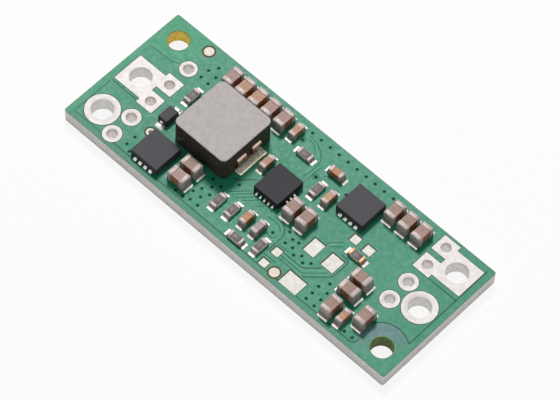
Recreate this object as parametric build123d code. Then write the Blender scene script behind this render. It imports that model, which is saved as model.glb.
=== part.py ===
from build123d import *
from dataclasses import dataclass
import os

# Boost converter module: a bare circuit board with its components on the upper face.
# X runs along the board from the input end to the output end, Y from the front edge to the back
# edge, and Z up. The origin is the middle of the board's underside. Sizes are in millimetres.

# Board
BOARD_LENGTH = 40.64
BOARD_WIDTH = 15.24
BOARD_THICKNESS = 1.6
BOARD_COLUMNS = 320
BOARD_ROWS = 120
MOUNTING_HOLE = 2.18
MOUNTING_HOLE_INSET = 2.16

# Terminals: one large plated hole and two pin holes on one land or on three
TERMINAL_INSET = 2.54
TERMINAL_PITCH = 5.08
TERMINAL_HOLE = 2.2
RING_LAND = 3.45
SQUARE_LAND = 3.5
PIN_ROW_OFFSET = 2.54
PIN_PITCH = 2.54
PIN_HOLE = 1.02
PIN_RING_LAND = 1.9
PIN_SQUARE_LAND = 1.93
ENABLE_LAND = 1.76
LAND_RISE = 0.03

# Sighting dots and test point
FIDUCIAL = 1.0
TEST_POINT = 0.84

# Solder
SOLDER_CLIMB = 0.45
LAND_SIDE_INSET = 0.05

# Power inductor
INDUCTOR_SIDE = 6.6
INDUCTOR_HEIGHT = 3.0
INDUCTOR_CORNER = 0.62
INDUCTOR_TOP_EDGE = 0.1
INDUCTOR_STANDOFF = 0.05
STRIP_THICKNESS = 0.2
STRIP_WIDTH = 2.8
STRIP_BEND = 0.18
STRIP_FOOT = 1.5
STRIP_EXIT_HEIGHT = 1.75
STRIP_DEPTH = 0.55
PRONG_GAP = 1.05
PRONG_LENGTH = 0.75
STRIP_LAND_WIDTH = 3.6
STRIP_LAND_TOE = 0.6
STRIP_SOLDER_HEIGHT = 0.5

# Coil of flat wire inside the inductor
COIL_INNER_RADIUS = 1.25
COIL_WIDTH = 0.9
COIL_HEIGHT = 1.5
WIRE_WIDTH = 0.8
COIL_CLEARANCE = 0.02

# Flat packages without legs
TRANSISTOR_SIDE = 3.3
TRANSISTOR_HEIGHT = 0.95
TRANSISTOR_LEADS = 4
TRANSISTOR_LEAD_PITCH = 0.65
TRANSISTOR_LEAD_WIDTH = 0.34
TRANSISTOR_LEAD_LENGTH = 0.4
TRANSISTOR_PADDLE_LENGTH = 1.9
TRANSISTOR_PADDLE_WIDTH = 2.4
CONTROLLER_LENGTH = 3.0
CONTROLLER_WIDTH = 3.5
CONTROLLER_HEIGHT = 0.9
CONTROLLER_END_LEADS = 5
CONTROLLER_SIDE_LEADS = 6
CONTROLLER_LEAD_PITCH = 0.5
CONTROLLER_LEAD_WIDTH = 0.24
CONTROLLER_LEAD_LENGTH = 0.35
CONTROLLER_PADDLE_LENGTH = 1.6
CONTROLLER_PADDLE_WIDTH = 2.1
LEAD_THICKNESS = 0.2
LEAD_PROUD = 0.04
LEAD_LAND_TOE = 0.2
PACKAGE_EDGE = 0.05

# Diode
DIODE_LENGTH = 1.7
DIODE_WIDTH = 1.15
DIODE_HEIGHT = 0.85
DIODE_DRAFT = 6
DIODE_LEAD_WIDTH = 0.32
DIODE_LEAD_THICKNESS = 0.14
DIODE_LEAD_FOOT = 0.45
DIODE_LEAD_EXIT = 0.3
DIODE_LEAD_DEPTH = 0.3
DIODE_LAND_WIDTH = 0.85
DIODE_LAND_TOE = 0.18


@dataclass(frozen=True)
class Chip:
    """The sizes of one kind of chip component and of its solder lands."""

    length: float
    width: float
    height: float
    end: float
    skin: float
    bevel: float
    toe: float


LARGE_CAPACITOR = Chip(length=2.0, width=1.25, height=1.25, end=0.42, skin=0.06, bevel=0.09, toe=0.3)
SMALL_CAPACITOR = Chip(length=1.6, width=0.8, height=0.8, end=0.32, skin=0.04, bevel=0.06, toe=0.4)
RESISTOR = Chip(length=1.6, width=0.8, height=0.45, end=0.3, skin=0.03, bevel=0, toe=0.42)
RESISTOR_COAT = 0.02

# Places of components, in grid steps from the board's front left corner
INDUCTOR_PLACE = (100.5, 64)
INPUT_TRANSISTOR_PLACE = (75.5, 19.7)
OUTPUT_TRANSISTOR_PLACE = (214.5, 90)
CONTROLLER_PLACE = (159.5, 61.2)
DIODE_PLACE = (60, 48.5)
INPUT_ROW_START = (71.5, 104.5)
INPUT_ROW_COUNT = 5
INPUT_STACK_START = (103.5, 15.2)
CENTRE_ROW_START = (181, 54)
OUTPUT_ROW_START = (235.5, 103.5)
OUTPUT_ROW_COUNT = 3
OUTPUT_STACK_START = (256.5, 32.3)
PAIR_COUNT = 2
ROW_STEP = 13
OUTPUT_EDGE_PLACES = ((256, 14.2), (279.5, 24))
SMALL_CAPACITORS_ALONG_X = ((182, 99.2),)
SMALL_CAPACITORS_ALONG_Y = (
    (136, 105),
    (192.5, 79.5),
    (139.5, 70),
    (267.5, 14.6),
    (162, 25.6),
    (173.5, 25.6),
)
RESISTORS_ALONG_X = ((154, 95.3), (167.3, 8.7), (239.7, 58.7))
RESISTORS_ALONG_Y = ((59.5, 74), (180.7, 79.5), (136.2, 22.4), (149.2, 23.6), (184.2, 15.7))
FIDUCIAL_PLACES = ((40, 112), (206, 8.1))
TEST_POINT_PLACE = (59, 30.7)

# Bare pads: place in grid steps, then length and width
BARE_PADS = (
    ((212.4, 43.1), 1.25, 1.65),
    ((230.7, 42.9), 1.4, 1.6),
    ((229, 69.1), 0.85, 0.85),
    ((242, 68.9), 0.95, 0.9),
    ((195.7, 21.7), 0.8, 0.8),
    ((195.3, 8.5), 0.8, 0.75),
    ((221.3, 11), 2.1, 1.6),
)

# Heights and ends that follow from the sizes above
SEAT = BOARD_THICKNESS + LAND_RISE
TERMINAL_X = BOARD_LENGTH / 2 - TERMINAL_INSET
PIN_ROW_X = TERMINAL_X - PIN_ROW_OFFSET


def on_grid(place):
    """Turn a place in grid steps into millimetres from the middle of the board."""
    column, row = place
    x = (column / BOARD_COLUMNS - 0.5) * BOARD_LENGTH
    y = (row / BOARD_ROWS - 0.5) * BOARD_WIDTH
    return x, y


def block(x_range, y_range, z_range):
    """A box given by its lowest and highest coordinate each way."""
    sizes = [high - low for low, high in (x_range, y_range, z_range)]
    corner = [low for low, high in (x_range, y_range, z_range)]
    return Pos(*corner) * Box(*sizes, align=Align.MIN)


def upright(radius, z_range, place=(0, 0)):
    """An upright cylinder between two heights."""
    low, high = z_range
    return Pos(*place, low) * Cylinder(radius, high - low, align=(Align.CENTER, Align.CENTER, Align.MIN))


def seated(shape, place, turn=0):
    """Stand a component on its lands at a place on the board."""
    return Pos(*on_grid(place), SEAT) * Rot(0, 0, turn) * shape


# Board, with the copper lands that are part of it


def pin_holes_of(centre, inboard):
    """The two pin holes that belong to a large hole."""
    x, y = centre
    return [(x + inboard * PIN_ROW_OFFSET, y + side * PIN_PITCH / 2) for side in (-1, 1)]


def terminals():
    """Each terminal as the middle of its large hole, the way to its pin holes, and whether it is square."""
    return (
        ((-TERMINAL_X, -TERMINAL_PITCH), 1, False),
        ((-TERMINAL_X, 0), 1, True),
        ((TERMINAL_X, 0), -1, False),
        ((TERMINAL_X, TERMINAL_PITCH), -1, True),
    )


def enable_place():
    """The single pin hole at the input end, one pitch behind its pin row."""
    return -PIN_ROW_X, 1.5 * PIN_PITCH


def round_lands(centre, inboard):
    """The outlines of three ring lands."""
    small = [Pos(*place) * Circle(PIN_RING_LAND / 2) for place in pin_holes_of(centre, inboard)]
    return [Pos(*centre) * Circle(RING_LAND / 2)] + small


def square_lands(centre, inboard):
    """The outline of one square land with a square tab around each pin hole."""
    outline = Pos(*centre) * Rectangle(SQUARE_LAND, SQUARE_LAND)
    for place in pin_holes_of(centre, inboard):
        outline += Pos(*place) * Rectangle(PIN_SQUARE_LAND, PIN_SQUARE_LAND)
    return [outline]


def mounting_holes():
    """The middles of the two mounting holes, in opposite corners."""
    x = BOARD_LENGTH / 2 - MOUNTING_HOLE_INSET
    y = BOARD_WIDTH / 2 - MOUNTING_HOLE_INSET
    return [(-x, y), (x, -y)]


def raised(outline):
    """A flat land on the board's upper face."""
    return Pos(0, 0, BOARD_THICKNESS) * extrude(outline, LAND_RISE)


def board():
    """The laminate, the terminal lands that stand proud of its upper face, and every drilled hole."""
    whole = (0, SEAT)
    panel = extrude(Rectangle(BOARD_LENGTH, BOARD_WIDTH), BOARD_THICKNESS)
    lands = [Pos(*enable_place()) * Circle(ENABLE_LAND / 2)]
    holes = [upright(MOUNTING_HOLE / 2, whole, place) for place in mounting_holes()]
    holes.append(upright(PIN_HOLE / 2, whole, enable_place()))
    for centre, inboard, square in terminals():
        lands += square_lands(centre, inboard) if square else round_lands(centre, inboard)
        holes.append(upright(TERMINAL_HOLE / 2, whole, centre))
        holes += [upright(PIN_HOLE / 2, whole, place) for place in pin_holes_of(centre, inboard)]
    return panel + [raised(land) for land in lands] - holes


def fiducial_marks():
    """Two sighting dots and the round test point beside the input transistor."""
    dots = [raised(Pos(*on_grid(place)) * Circle(FIDUCIAL / 2)) for place in FIDUCIAL_PLACES]
    dots.append(raised(Pos(*on_grid(TEST_POINT_PLACE)) * Circle(TEST_POINT / 2)))
    return dots


def bare_solder_pads():
    """Rectangular pads that carry no component."""
    return [raised(Pos(*on_grid(place)) * Rectangle(length, width)) for place, length, width in BARE_PADS]


# Solder joints


def solder_joint(inner, face, toe, width, climb):
    """A land that runs out from under a part, with the solder that slopes up to the part's end face.

    It points along +X, and its height is counted from the seat of the part.
    """
    outer = face + toe
    land = [(inner, 0), (inner, -LAND_RISE), (outer, -LAND_RISE), (outer, 0)]
    slope = [(face, climb), (face, 0)]
    profile = make_face(Plane.XZ * Polyline(*land, *slope, close=True))
    return extrude(profile, width / 2, both=True)


def end_joints(length, end, toe, width, climb):
    """A pair of joints at the two ends of a part that lies along X."""
    joint = solder_joint(length / 2 - end, length / 2, toe, width, climb)
    return [joint, Rot(0, 0, 180) * joint]


def chip_joints(chip):
    """The two joints of a chip component."""
    width = chip.width - 2 * LAND_SIDE_INSET
    return end_joints(chip.length, chip.end, chip.toe, width, SOLDER_CLIMB * chip.height)


# Chip components, modelled along X with their underside at zero


def end_cap(chip):
    """The metal dipped on one end of a ceramic chip, with the edges of its end face broken."""
    half_width = chip.width / 2
    cap = block((chip.length / 2 - chip.end, chip.length / 2), (-half_width, half_width), (0, chip.height))
    return chamfer(cap.faces().sort_by(Axis.X)[-1].edges(), chip.bevel)


def ceramic(chip):
    """The ceramic block inside the two metal ends."""
    skin = 2 * chip.skin
    body = Box(chip.length - skin, chip.width - skin, chip.height - skin)
    return Pos(0, 0, chip.height / 2) * body


def capacitor(chip):
    """A multilayer ceramic capacitor: a ceramic block and two metal ends."""
    body = ceramic(chip)
    end = end_cap(chip) - body
    return [body, end, Rot(0, 0, 180) * end]


def resistor(chip):
    """A chip resistor: a ceramic substrate, the coat over its film, and metal wrapped round each end."""
    inner = chip.length / 2 - chip.end
    half_width = chip.width / 2
    low, high = chip.skin, chip.height - chip.skin
    reach = chip.length / 2 - chip.skin
    substrate = block((-reach, reach), (-half_width, half_width), (low, high))
    coat = block((-inner, inner), (-half_width, half_width), (high, high + RESISTOR_COAT))
    wrap = block((inner, chip.length / 2), (-half_width, half_width), (0, chip.height)) - substrate
    return [substrate, coat, wrap, Rot(0, 0, 180) * wrap]


# Power inductor, modelled with its terminals at the two ends of X


def strip_outline():
    """The side view of a terminal strip: under the body, up its side and into it at the exit height."""
    side = INDUCTOR_SIDE / 2
    outer = side + STRIP_THICKNESS
    exit_high = STRIP_EXIT_HEIGHT + STRIP_THICKNESS
    parts = [
        ((side - STRIP_FOOT, outer), (0, STRIP_THICKNESS)),
        ((side, outer), (0, exit_high)),
        ((side - STRIP_DEPTH, outer), (STRIP_EXIT_HEIGHT, exit_high)),
    ]
    outline = Sketch()
    for (left, right), (low, high) in parts:
        outline += Pos(left, low) * Rectangle(right - left, high - low, align=Align.MIN)
    bends = outline.vertices().group_by(Axis.X)[-1]
    return fillet(bends, STRIP_BEND)


def terminal_strip():
    """A strip at the +X end, split into two prongs from its upper bend down."""
    strip = extrude(Plane.XZ * strip_outline(), STRIP_WIDTH / 2, both=True)
    side = INDUCTOR_SIDE / 2
    upper_bend = STRIP_EXIT_HEIGHT + STRIP_THICKNESS
    slot_heights = (upper_bend - PRONG_LENGTH, upper_bend)
    return strip - block((side, side + STRIP_THICKNESS), (-PRONG_GAP / 2, PRONG_GAP / 2), slot_heights)


def coil(growth=0):
    """The wound ring of flat wire with a straight lead to each strip, or the chamber that holds it."""
    outer = COIL_INNER_RADIUS + COIL_WIDTH + growth
    inner = COIL_INNER_RADIUS - growth
    middle = (INDUCTOR_STANDOFF + INDUCTOR_HEIGHT) / 2
    heights = (middle - COIL_HEIGHT / 2 - growth, middle + COIL_HEIGHT / 2 + growth)
    reach = INDUCTOR_SIDE / 2 - STRIP_DEPTH
    half_width = WIRE_WIDTH / 2 + growth
    lead_heights = (STRIP_EXIT_HEIGHT - growth, STRIP_EXIT_HEIGHT + STRIP_THICKNESS + growth)
    ring = upright(outer, heights) + block((-reach, reach), (-half_width, half_width), lead_heights)
    return ring - upright(inner, heights)


def inductor():
    """The moulded block, its two terminal strips and its coil."""
    strip = terminal_strip()
    strips = [Rot(0, 0, 180) * strip, strip]
    side = INDUCTOR_SIDE / 2
    body = block((-side, side), (-side, side), (INDUCTOR_STANDOFF, INDUCTOR_HEIGHT))
    body = fillet(body.edges().filter_by(Axis.Z), INDUCTOR_CORNER)
    body = chamfer(body.faces().sort_by(Axis.Z)[-1].edges(), INDUCTOR_TOP_EDGE)
    return body - strips - coil(COIL_CLEARANCE), strips, coil()


def inductor_joints():
    """The solder at the inductor's two strips."""
    length = INDUCTOR_SIDE + 2 * STRIP_THICKNESS
    foot = STRIP_FOOT + STRIP_THICKNESS
    return end_joints(length, foot, STRIP_LAND_TOE, STRIP_LAND_WIDTH, STRIP_SOLDER_HEIGHT)


# Flat packages without legs


@dataclass(frozen=True)
class LeadRow:
    """A row of leads along one side of a package."""

    edge: float
    count: int
    pitch: float
    width: float
    length: float

    def repeated(self, shape):
        """Copy a shape to the place of every lead."""
        middle = (self.count - 1) / 2
        return [Pos(0, (index - middle) * self.pitch, 0) * shape for index in range(self.count)]

    def leads(self):
        """Leads that are flush with the package's underside and point along +X."""
        reach = (self.edge - self.length, self.edge + LEAD_PROUD)
        return self.repeated(block(reach, (-self.width / 2, self.width / 2), (0, LEAD_THICKNESS)))

    def joints(self):
        """The land under each lead and the solder in front of it."""
        inner, face = self.edge - self.length, self.edge + LEAD_PROUD
        return self.repeated(solder_joint(inner, face, LEAD_LAND_TOE, self.width, LEAD_THICKNESS))

    def lands(self):
        """The bare land under each lead, which reaches out past it."""
        reach = (self.edge - self.length, self.edge + LEAD_PROUD + LEAD_LAND_TOE)
        return self.repeated(block(reach, (-self.width / 2, self.width / 2), (-LAND_RISE, 0)))


def package(length, width, height, leadframe):
    """A moulded package with its upper edges broken, closed round its leadframe."""
    body = block((-length / 2, length / 2), (-width / 2, width / 2), (0, height))
    body = chamfer(body.faces().sort_by(Axis.Z)[-1].edges(), PACKAGE_EDGE)
    return body - leadframe


def transistor_row():
    """The four leads of a transistor."""
    lead = (TRANSISTOR_LEAD_PITCH, TRANSISTOR_LEAD_WIDTH, TRANSISTOR_LEAD_LENGTH)
    return LeadRow(TRANSISTOR_SIDE / 2, TRANSISTOR_LEADS, *lead)


def transistor_paddle(z_range, tabs):
    """The wide paddle, or the land under it, joined to the tabs of the side opposite the leads."""
    low = TRANSISTOR_LEAD_LENGTH - TRANSISTOR_SIDE / 2
    half_width = TRANSISTOR_PADDLE_WIDTH / 2
    paddle = block((low, low + TRANSISTOR_PADDLE_LENGTH), (-half_width, half_width), z_range)
    return paddle + [Rot(0, 0, 180) * tab for tab in tabs]


def transistor_leadframe():
    """Four leads on one side and a wide paddle that reaches the opposite side with four tabs."""
    leads = transistor_row().leads()
    return leads + [transistor_paddle((0, LEAD_THICKNESS), leads)]


def transistor_joints():
    """Joints of the leads and of the paddle's tabs, with the land under the paddle."""
    joints = transistor_row().joints()
    return joints + [transistor_paddle((-LAND_RISE, 0), joints)]


def controller_rows():
    """The four lead rows of the controller, each with its turn."""
    half_length, half_width = CONTROLLER_LENGTH / 2, CONTROLLER_WIDTH / 2
    sizes = (CONTROLLER_LEAD_PITCH, CONTROLLER_LEAD_WIDTH, CONTROLLER_LEAD_LENGTH)
    side = LeadRow(half_length, CONTROLLER_SIDE_LEADS, *sizes)
    end = LeadRow(half_width, CONTROLLER_END_LEADS, *sizes)
    return ((0, side), (90, end), (180, side), (270, end))


def controller_paddle(z_range):
    """The pad in the middle of the controller's underside, or the land below it."""
    half_length, half_width = CONTROLLER_PADDLE_LENGTH / 2, CONTROLLER_PADDLE_WIDTH / 2
    return block((-half_length, half_length), (-half_width, half_width), z_range)


def controller_leadframe():
    """Leads on all four sides and a paddle in the middle."""
    leads = [Rot(0, 0, turn) * lead for turn, row in controller_rows() for lead in row.leads()]
    return leads + [controller_paddle((0, LEAD_THICKNESS))]


def controller_lands():
    """The lands under all four lead rows and under the paddle."""
    lands = [Rot(0, 0, turn) * land for turn, row in controller_rows() for land in row.lands()]
    return lands + [controller_paddle((-LAND_RISE, 0))]


# Diode, modelled along X


def diode_lead():
    """A flat lead that leaves the body's end, steps down and lies on its land."""
    inner = DIODE_LENGTH / 2 - DIODE_LEAD_DEPTH
    face = DIODE_LENGTH / 2
    top = DIODE_LEAD_EXIT + DIODE_LEAD_THICKNESS
    drop = face + DIODE_LEAD_THICKNESS
    half_width = DIODE_LEAD_WIDTH / 2
    sides = (-half_width, half_width)
    lead = block((inner, drop), sides, (DIODE_LEAD_EXIT, top))
    lead += block((face, drop), sides, (0, top))
    lead += block((face, face + DIODE_LEAD_FOOT), sides, (0, DIODE_LEAD_THICKNESS))
    return lead


def diode():
    """A small moulded body with a draft on its sides, and its two leads."""
    leads = [diode_lead(), Rot(0, 0, 180) * diode_lead()]
    lower = extrude(Rectangle(DIODE_LENGTH, DIODE_WIDTH), DIODE_LEAD_EXIT + DIODE_LEAD_THICKNESS)
    parting = Pos(0, 0, DIODE_LEAD_EXIT + DIODE_LEAD_THICKNESS) * Rectangle(DIODE_LENGTH, DIODE_WIDTH)
    upper_height = DIODE_HEIGHT - DIODE_LEAD_EXIT - DIODE_LEAD_THICKNESS
    body = lower + extrude(parting, upper_height, taper=DIODE_DRAFT)
    return body - leads, leads


def diode_joints():
    """The solder at the diode's two feet."""
    length = DIODE_LENGTH + 2 * DIODE_LEAD_FOOT
    return end_joints(length, DIODE_LEAD_FOOT, DIODE_LAND_TOE, DIODE_LAND_WIDTH, DIODE_LEAD_THICKNESS)


# Placing the components


def stepped(start, count, across=True):
    """Places in a straight row, one step apart along X or along Y."""
    column, row = start
    if across:
        return [(column + index * ROW_STEP, row) for index in range(count)]
    return [(column, row + index * ROW_STEP) for index in range(count)]


def turned(places, turn):
    """Give each place of a list the same turn."""
    return [(place, turn) for place in places]


def capacitor_places():
    """The place and turn of every large capacitor, by the first words of its node's name."""
    return {
        "input_capacitor": turned(stepped(INPUT_ROW_START, INPUT_ROW_COUNT), 90)
        + turned(stepped(INPUT_STACK_START, PAIR_COUNT, across=False), 0),
        "centre_capacitor": turned(stepped(CENTRE_ROW_START, PAIR_COUNT), 90),
        "output_capacitor": turned(stepped(OUTPUT_ROW_START, OUTPUT_ROW_COUNT), 90)
        + turned(stepped(OUTPUT_STACK_START, PAIR_COUNT, across=False), 0)
        + turned(OUTPUT_EDGE_PLACES, 90),
    }


def chips():
    """Every chip component as its node's name, its kind, its solids, its place and its turn."""
    large, small, flat = capacitor(LARGE_CAPACITOR), capacitor(SMALL_CAPACITOR), resistor(RESISTOR)
    groups = [(name, LARGE_CAPACITOR, large, places) for name, places in capacitor_places().items()]
    small_places = turned(SMALL_CAPACITORS_ALONG_Y, 90) + turned(SMALL_CAPACITORS_ALONG_X, 0)
    resistor_places = turned(RESISTORS_ALONG_Y, 90) + turned(RESISTORS_ALONG_X, 0)
    groups.append(("small_capacitor", SMALL_CAPACITOR, small, small_places))
    groups.append(("resistor", RESISTOR, flat, resistor_places))
    for name, chip, solids, places in groups:
        for number, (place, turn) in enumerate(places, start=1):
            yield f"{name}_{number}", chip, solids, place, turn


def transistors():
    """The name and place of each transistor."""
    return (("input_transistor", INPUT_TRANSISTOR_PLACE), ("output_transistor", OUTPUT_TRANSISTOR_PLACE))


def placed(solids, place, turn=0):
    """Stand a list of solids on the board."""
    return [seated(solid, place, turn) for solid in solids]


def nodes():
    """Every node of the module, as a list of solids by name."""
    made = {"board": [board()], "fiducial_marks": fiducial_marks(), "bare_solder_pads": bare_solder_pads()}

    body, strips, winding = inductor()
    input_strip, output_strip = placed(strips, INDUCTOR_PLACE)
    made["inductor_body"] = placed([body], INDUCTOR_PLACE)
    made["inductor_input_strip"] = [input_strip]
    made["inductor_output_strip"] = [output_strip]
    made["inductor_coil"] = placed([winding], INDUCTOR_PLACE)
    package_joints = placed(inductor_joints(), INDUCTOR_PLACE)

    frame = transistor_leadframe()
    case = package(TRANSISTOR_SIDE, TRANSISTOR_SIDE, TRANSISTOR_HEIGHT, frame)
    for name, place in transistors():
        made[name + "_package"] = placed([case], place, -90)
        made[name + "_leadframe"] = placed(frame, place, -90)
        package_joints += placed(transistor_joints(), place, -90)

    frame = controller_leadframe()
    case = package(CONTROLLER_LENGTH, CONTROLLER_WIDTH, CONTROLLER_HEIGHT, frame)
    made["controller_package"] = placed([case], CONTROLLER_PLACE)
    made["controller_leadframe"] = placed(frame, CONTROLLER_PLACE)
    package_joints += placed(controller_lands(), CONTROLLER_PLACE)

    case, leads = diode()
    made["diode_body"] = placed([case], DIODE_PLACE, 90)
    made["diode_leads"] = placed(leads, DIODE_PLACE, 90)
    made["package_solder_joints"] = package_joints + placed(diode_joints(), DIODE_PLACE, 90)

    made["chip_solder_joints"] = []
    for name, chip, solids, place, turn in chips():
        made[name] = placed(solids, place, turn)
        made["chip_solder_joints"] += placed(chip_joints(chip), place, turn)
    return made


def solids_of(shapes):
    """The separate solids in a list of shapes."""
    return [solid for shape in shapes for solid in shape.solids()]


if __name__ == "__main__":
    os.makedirs("parts", exist_ok=True)
    for name, shapes in nodes().items():
        solids = solids_of(shapes)
        export_step(solids[0] if len(solids) == 1 else Compound(solids), f"parts/{name}.step")
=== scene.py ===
"""Looks of a boost converter module: a green circuit board with its components, on a pale floor."""

import logging
import math
from collections.abc import Callable, Iterable, Sequence
from dataclasses import dataclass, replace
from enum import Enum
from functools import cache

import bmesh
import bpy
from mathutils import Matrix, Quaternion, Vector


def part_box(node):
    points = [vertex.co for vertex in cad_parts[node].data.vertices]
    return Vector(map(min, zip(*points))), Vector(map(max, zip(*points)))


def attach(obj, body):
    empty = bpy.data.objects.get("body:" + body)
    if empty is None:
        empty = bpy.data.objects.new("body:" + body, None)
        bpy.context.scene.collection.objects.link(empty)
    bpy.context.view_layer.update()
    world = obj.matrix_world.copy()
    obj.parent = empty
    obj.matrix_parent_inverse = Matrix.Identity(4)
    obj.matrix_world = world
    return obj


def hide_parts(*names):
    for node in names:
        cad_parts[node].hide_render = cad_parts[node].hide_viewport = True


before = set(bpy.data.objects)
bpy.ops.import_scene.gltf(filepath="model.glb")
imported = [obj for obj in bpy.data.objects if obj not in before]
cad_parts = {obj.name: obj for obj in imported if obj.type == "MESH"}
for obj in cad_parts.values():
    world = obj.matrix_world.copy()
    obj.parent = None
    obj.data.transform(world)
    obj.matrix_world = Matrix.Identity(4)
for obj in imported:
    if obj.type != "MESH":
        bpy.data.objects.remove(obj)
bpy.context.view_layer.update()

LOG = logging.getLogger("converter_module")
# A millimetre in metres, and the body that every piece rides on
MM = 0.001
BODY = "root"

# Heights below and above the board, between which a tool cuts right through it
THROUGH = (-1.0, 3.0)
# Thickness of a land on the board
LAND_DEPTH = 0.03
# Distance under which two measures count as the same
TOUCH = 1e-6
# Distance under which the corners of loose triangles are merged
MERGE = 1e-4
# Angle from which an edge of a piece looks sharp
SHARP_ANGLE = math.radians(38)
# How far the bars of a ribbon overlap at its bends, beside its width, and how much every second one is higher
BEND_OVERLAP = 0.3
BAR_STEP = 0.0004
# A solder slope: how hollow it is, how far its sides fall, how thick it ends and how far it narrows
SLOPE_HOLLOW = 2.1
SLOPE_SIDES = 0.3
SLOPE_FOOT = 0.035
SLOPE_TAPER = 0.12
# Sockets of a Mix node that mixes colours
MIX_FACTOR, MIX_BASE, MIX_OVER, MIX_RESULT = 0, 6, 7, 2
# The darker and the lighter clouds of a fired ceramic, beside its middle tone
CLOUD_SHARES = (0.93, 1.05)
# The red, green and blue of a ceramic's sides beside those of its top: painted shade, with a painted warm
# reflection of its neighbours
SIDE_SHADE_SHARES = (0.9, 0.6, 0.38)

Colour = tuple[float, float, float, float]
Point = tuple[float, float, float]
Place = tuple[float, float]
Socket = bpy.types.NodeSocket


def screen(red: float, green: float, blue: float) -> Colour:
    """Turn a screen colour, 0 to 255 a channel, into the linear colour of a shader.

    Args:
        red: Red channel.
        green: Green channel.
        blue: Blue channel.

    Returns:
        The linear colour, with an alpha of 1.
    """
    shares = [channel / 255 for channel in (red, green, blue)]
    linear = [s / 12.92 if s <= 0.04045 else ((s + 0.055) / 1.055) ** 2.4 for s in shares]
    return (*linear, 1.0)


class Operation(Enum):
    """How one form changes another."""

    CUT = "DIFFERENCE"
    UNITE = "UNION"
    SHARE = "INTERSECT"


class Face(Enum):
    """A face of the board, as the heights of its laminate, its mask and its lands."""

    UPPER = (1.6, 1.613, 1.63)
    LOWER = (0.03, 0.017, 0.0)

    @property
    def laminate(self) -> float:
        """Height of the bare laminate."""
        return self.value[0]

    @property
    def mask(self) -> float:
        """Height of the green mask's outer side."""
        return self.value[1]

    @property
    def land(self) -> float:
        """Height of a land's outer side."""
        return self.value[2]

    @property
    def out(self) -> int:
        """The way out of the board, 1 upward or -1 downward."""
        return 1 if self is Face.UPPER else -1

    def between(self, outer: float) -> tuple[float, float]:
        """Heights from the laminate to an outer side, the lower one first."""
        return min(self.laminate, outer), max(self.laminate, outer)


# Finishes


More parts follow.
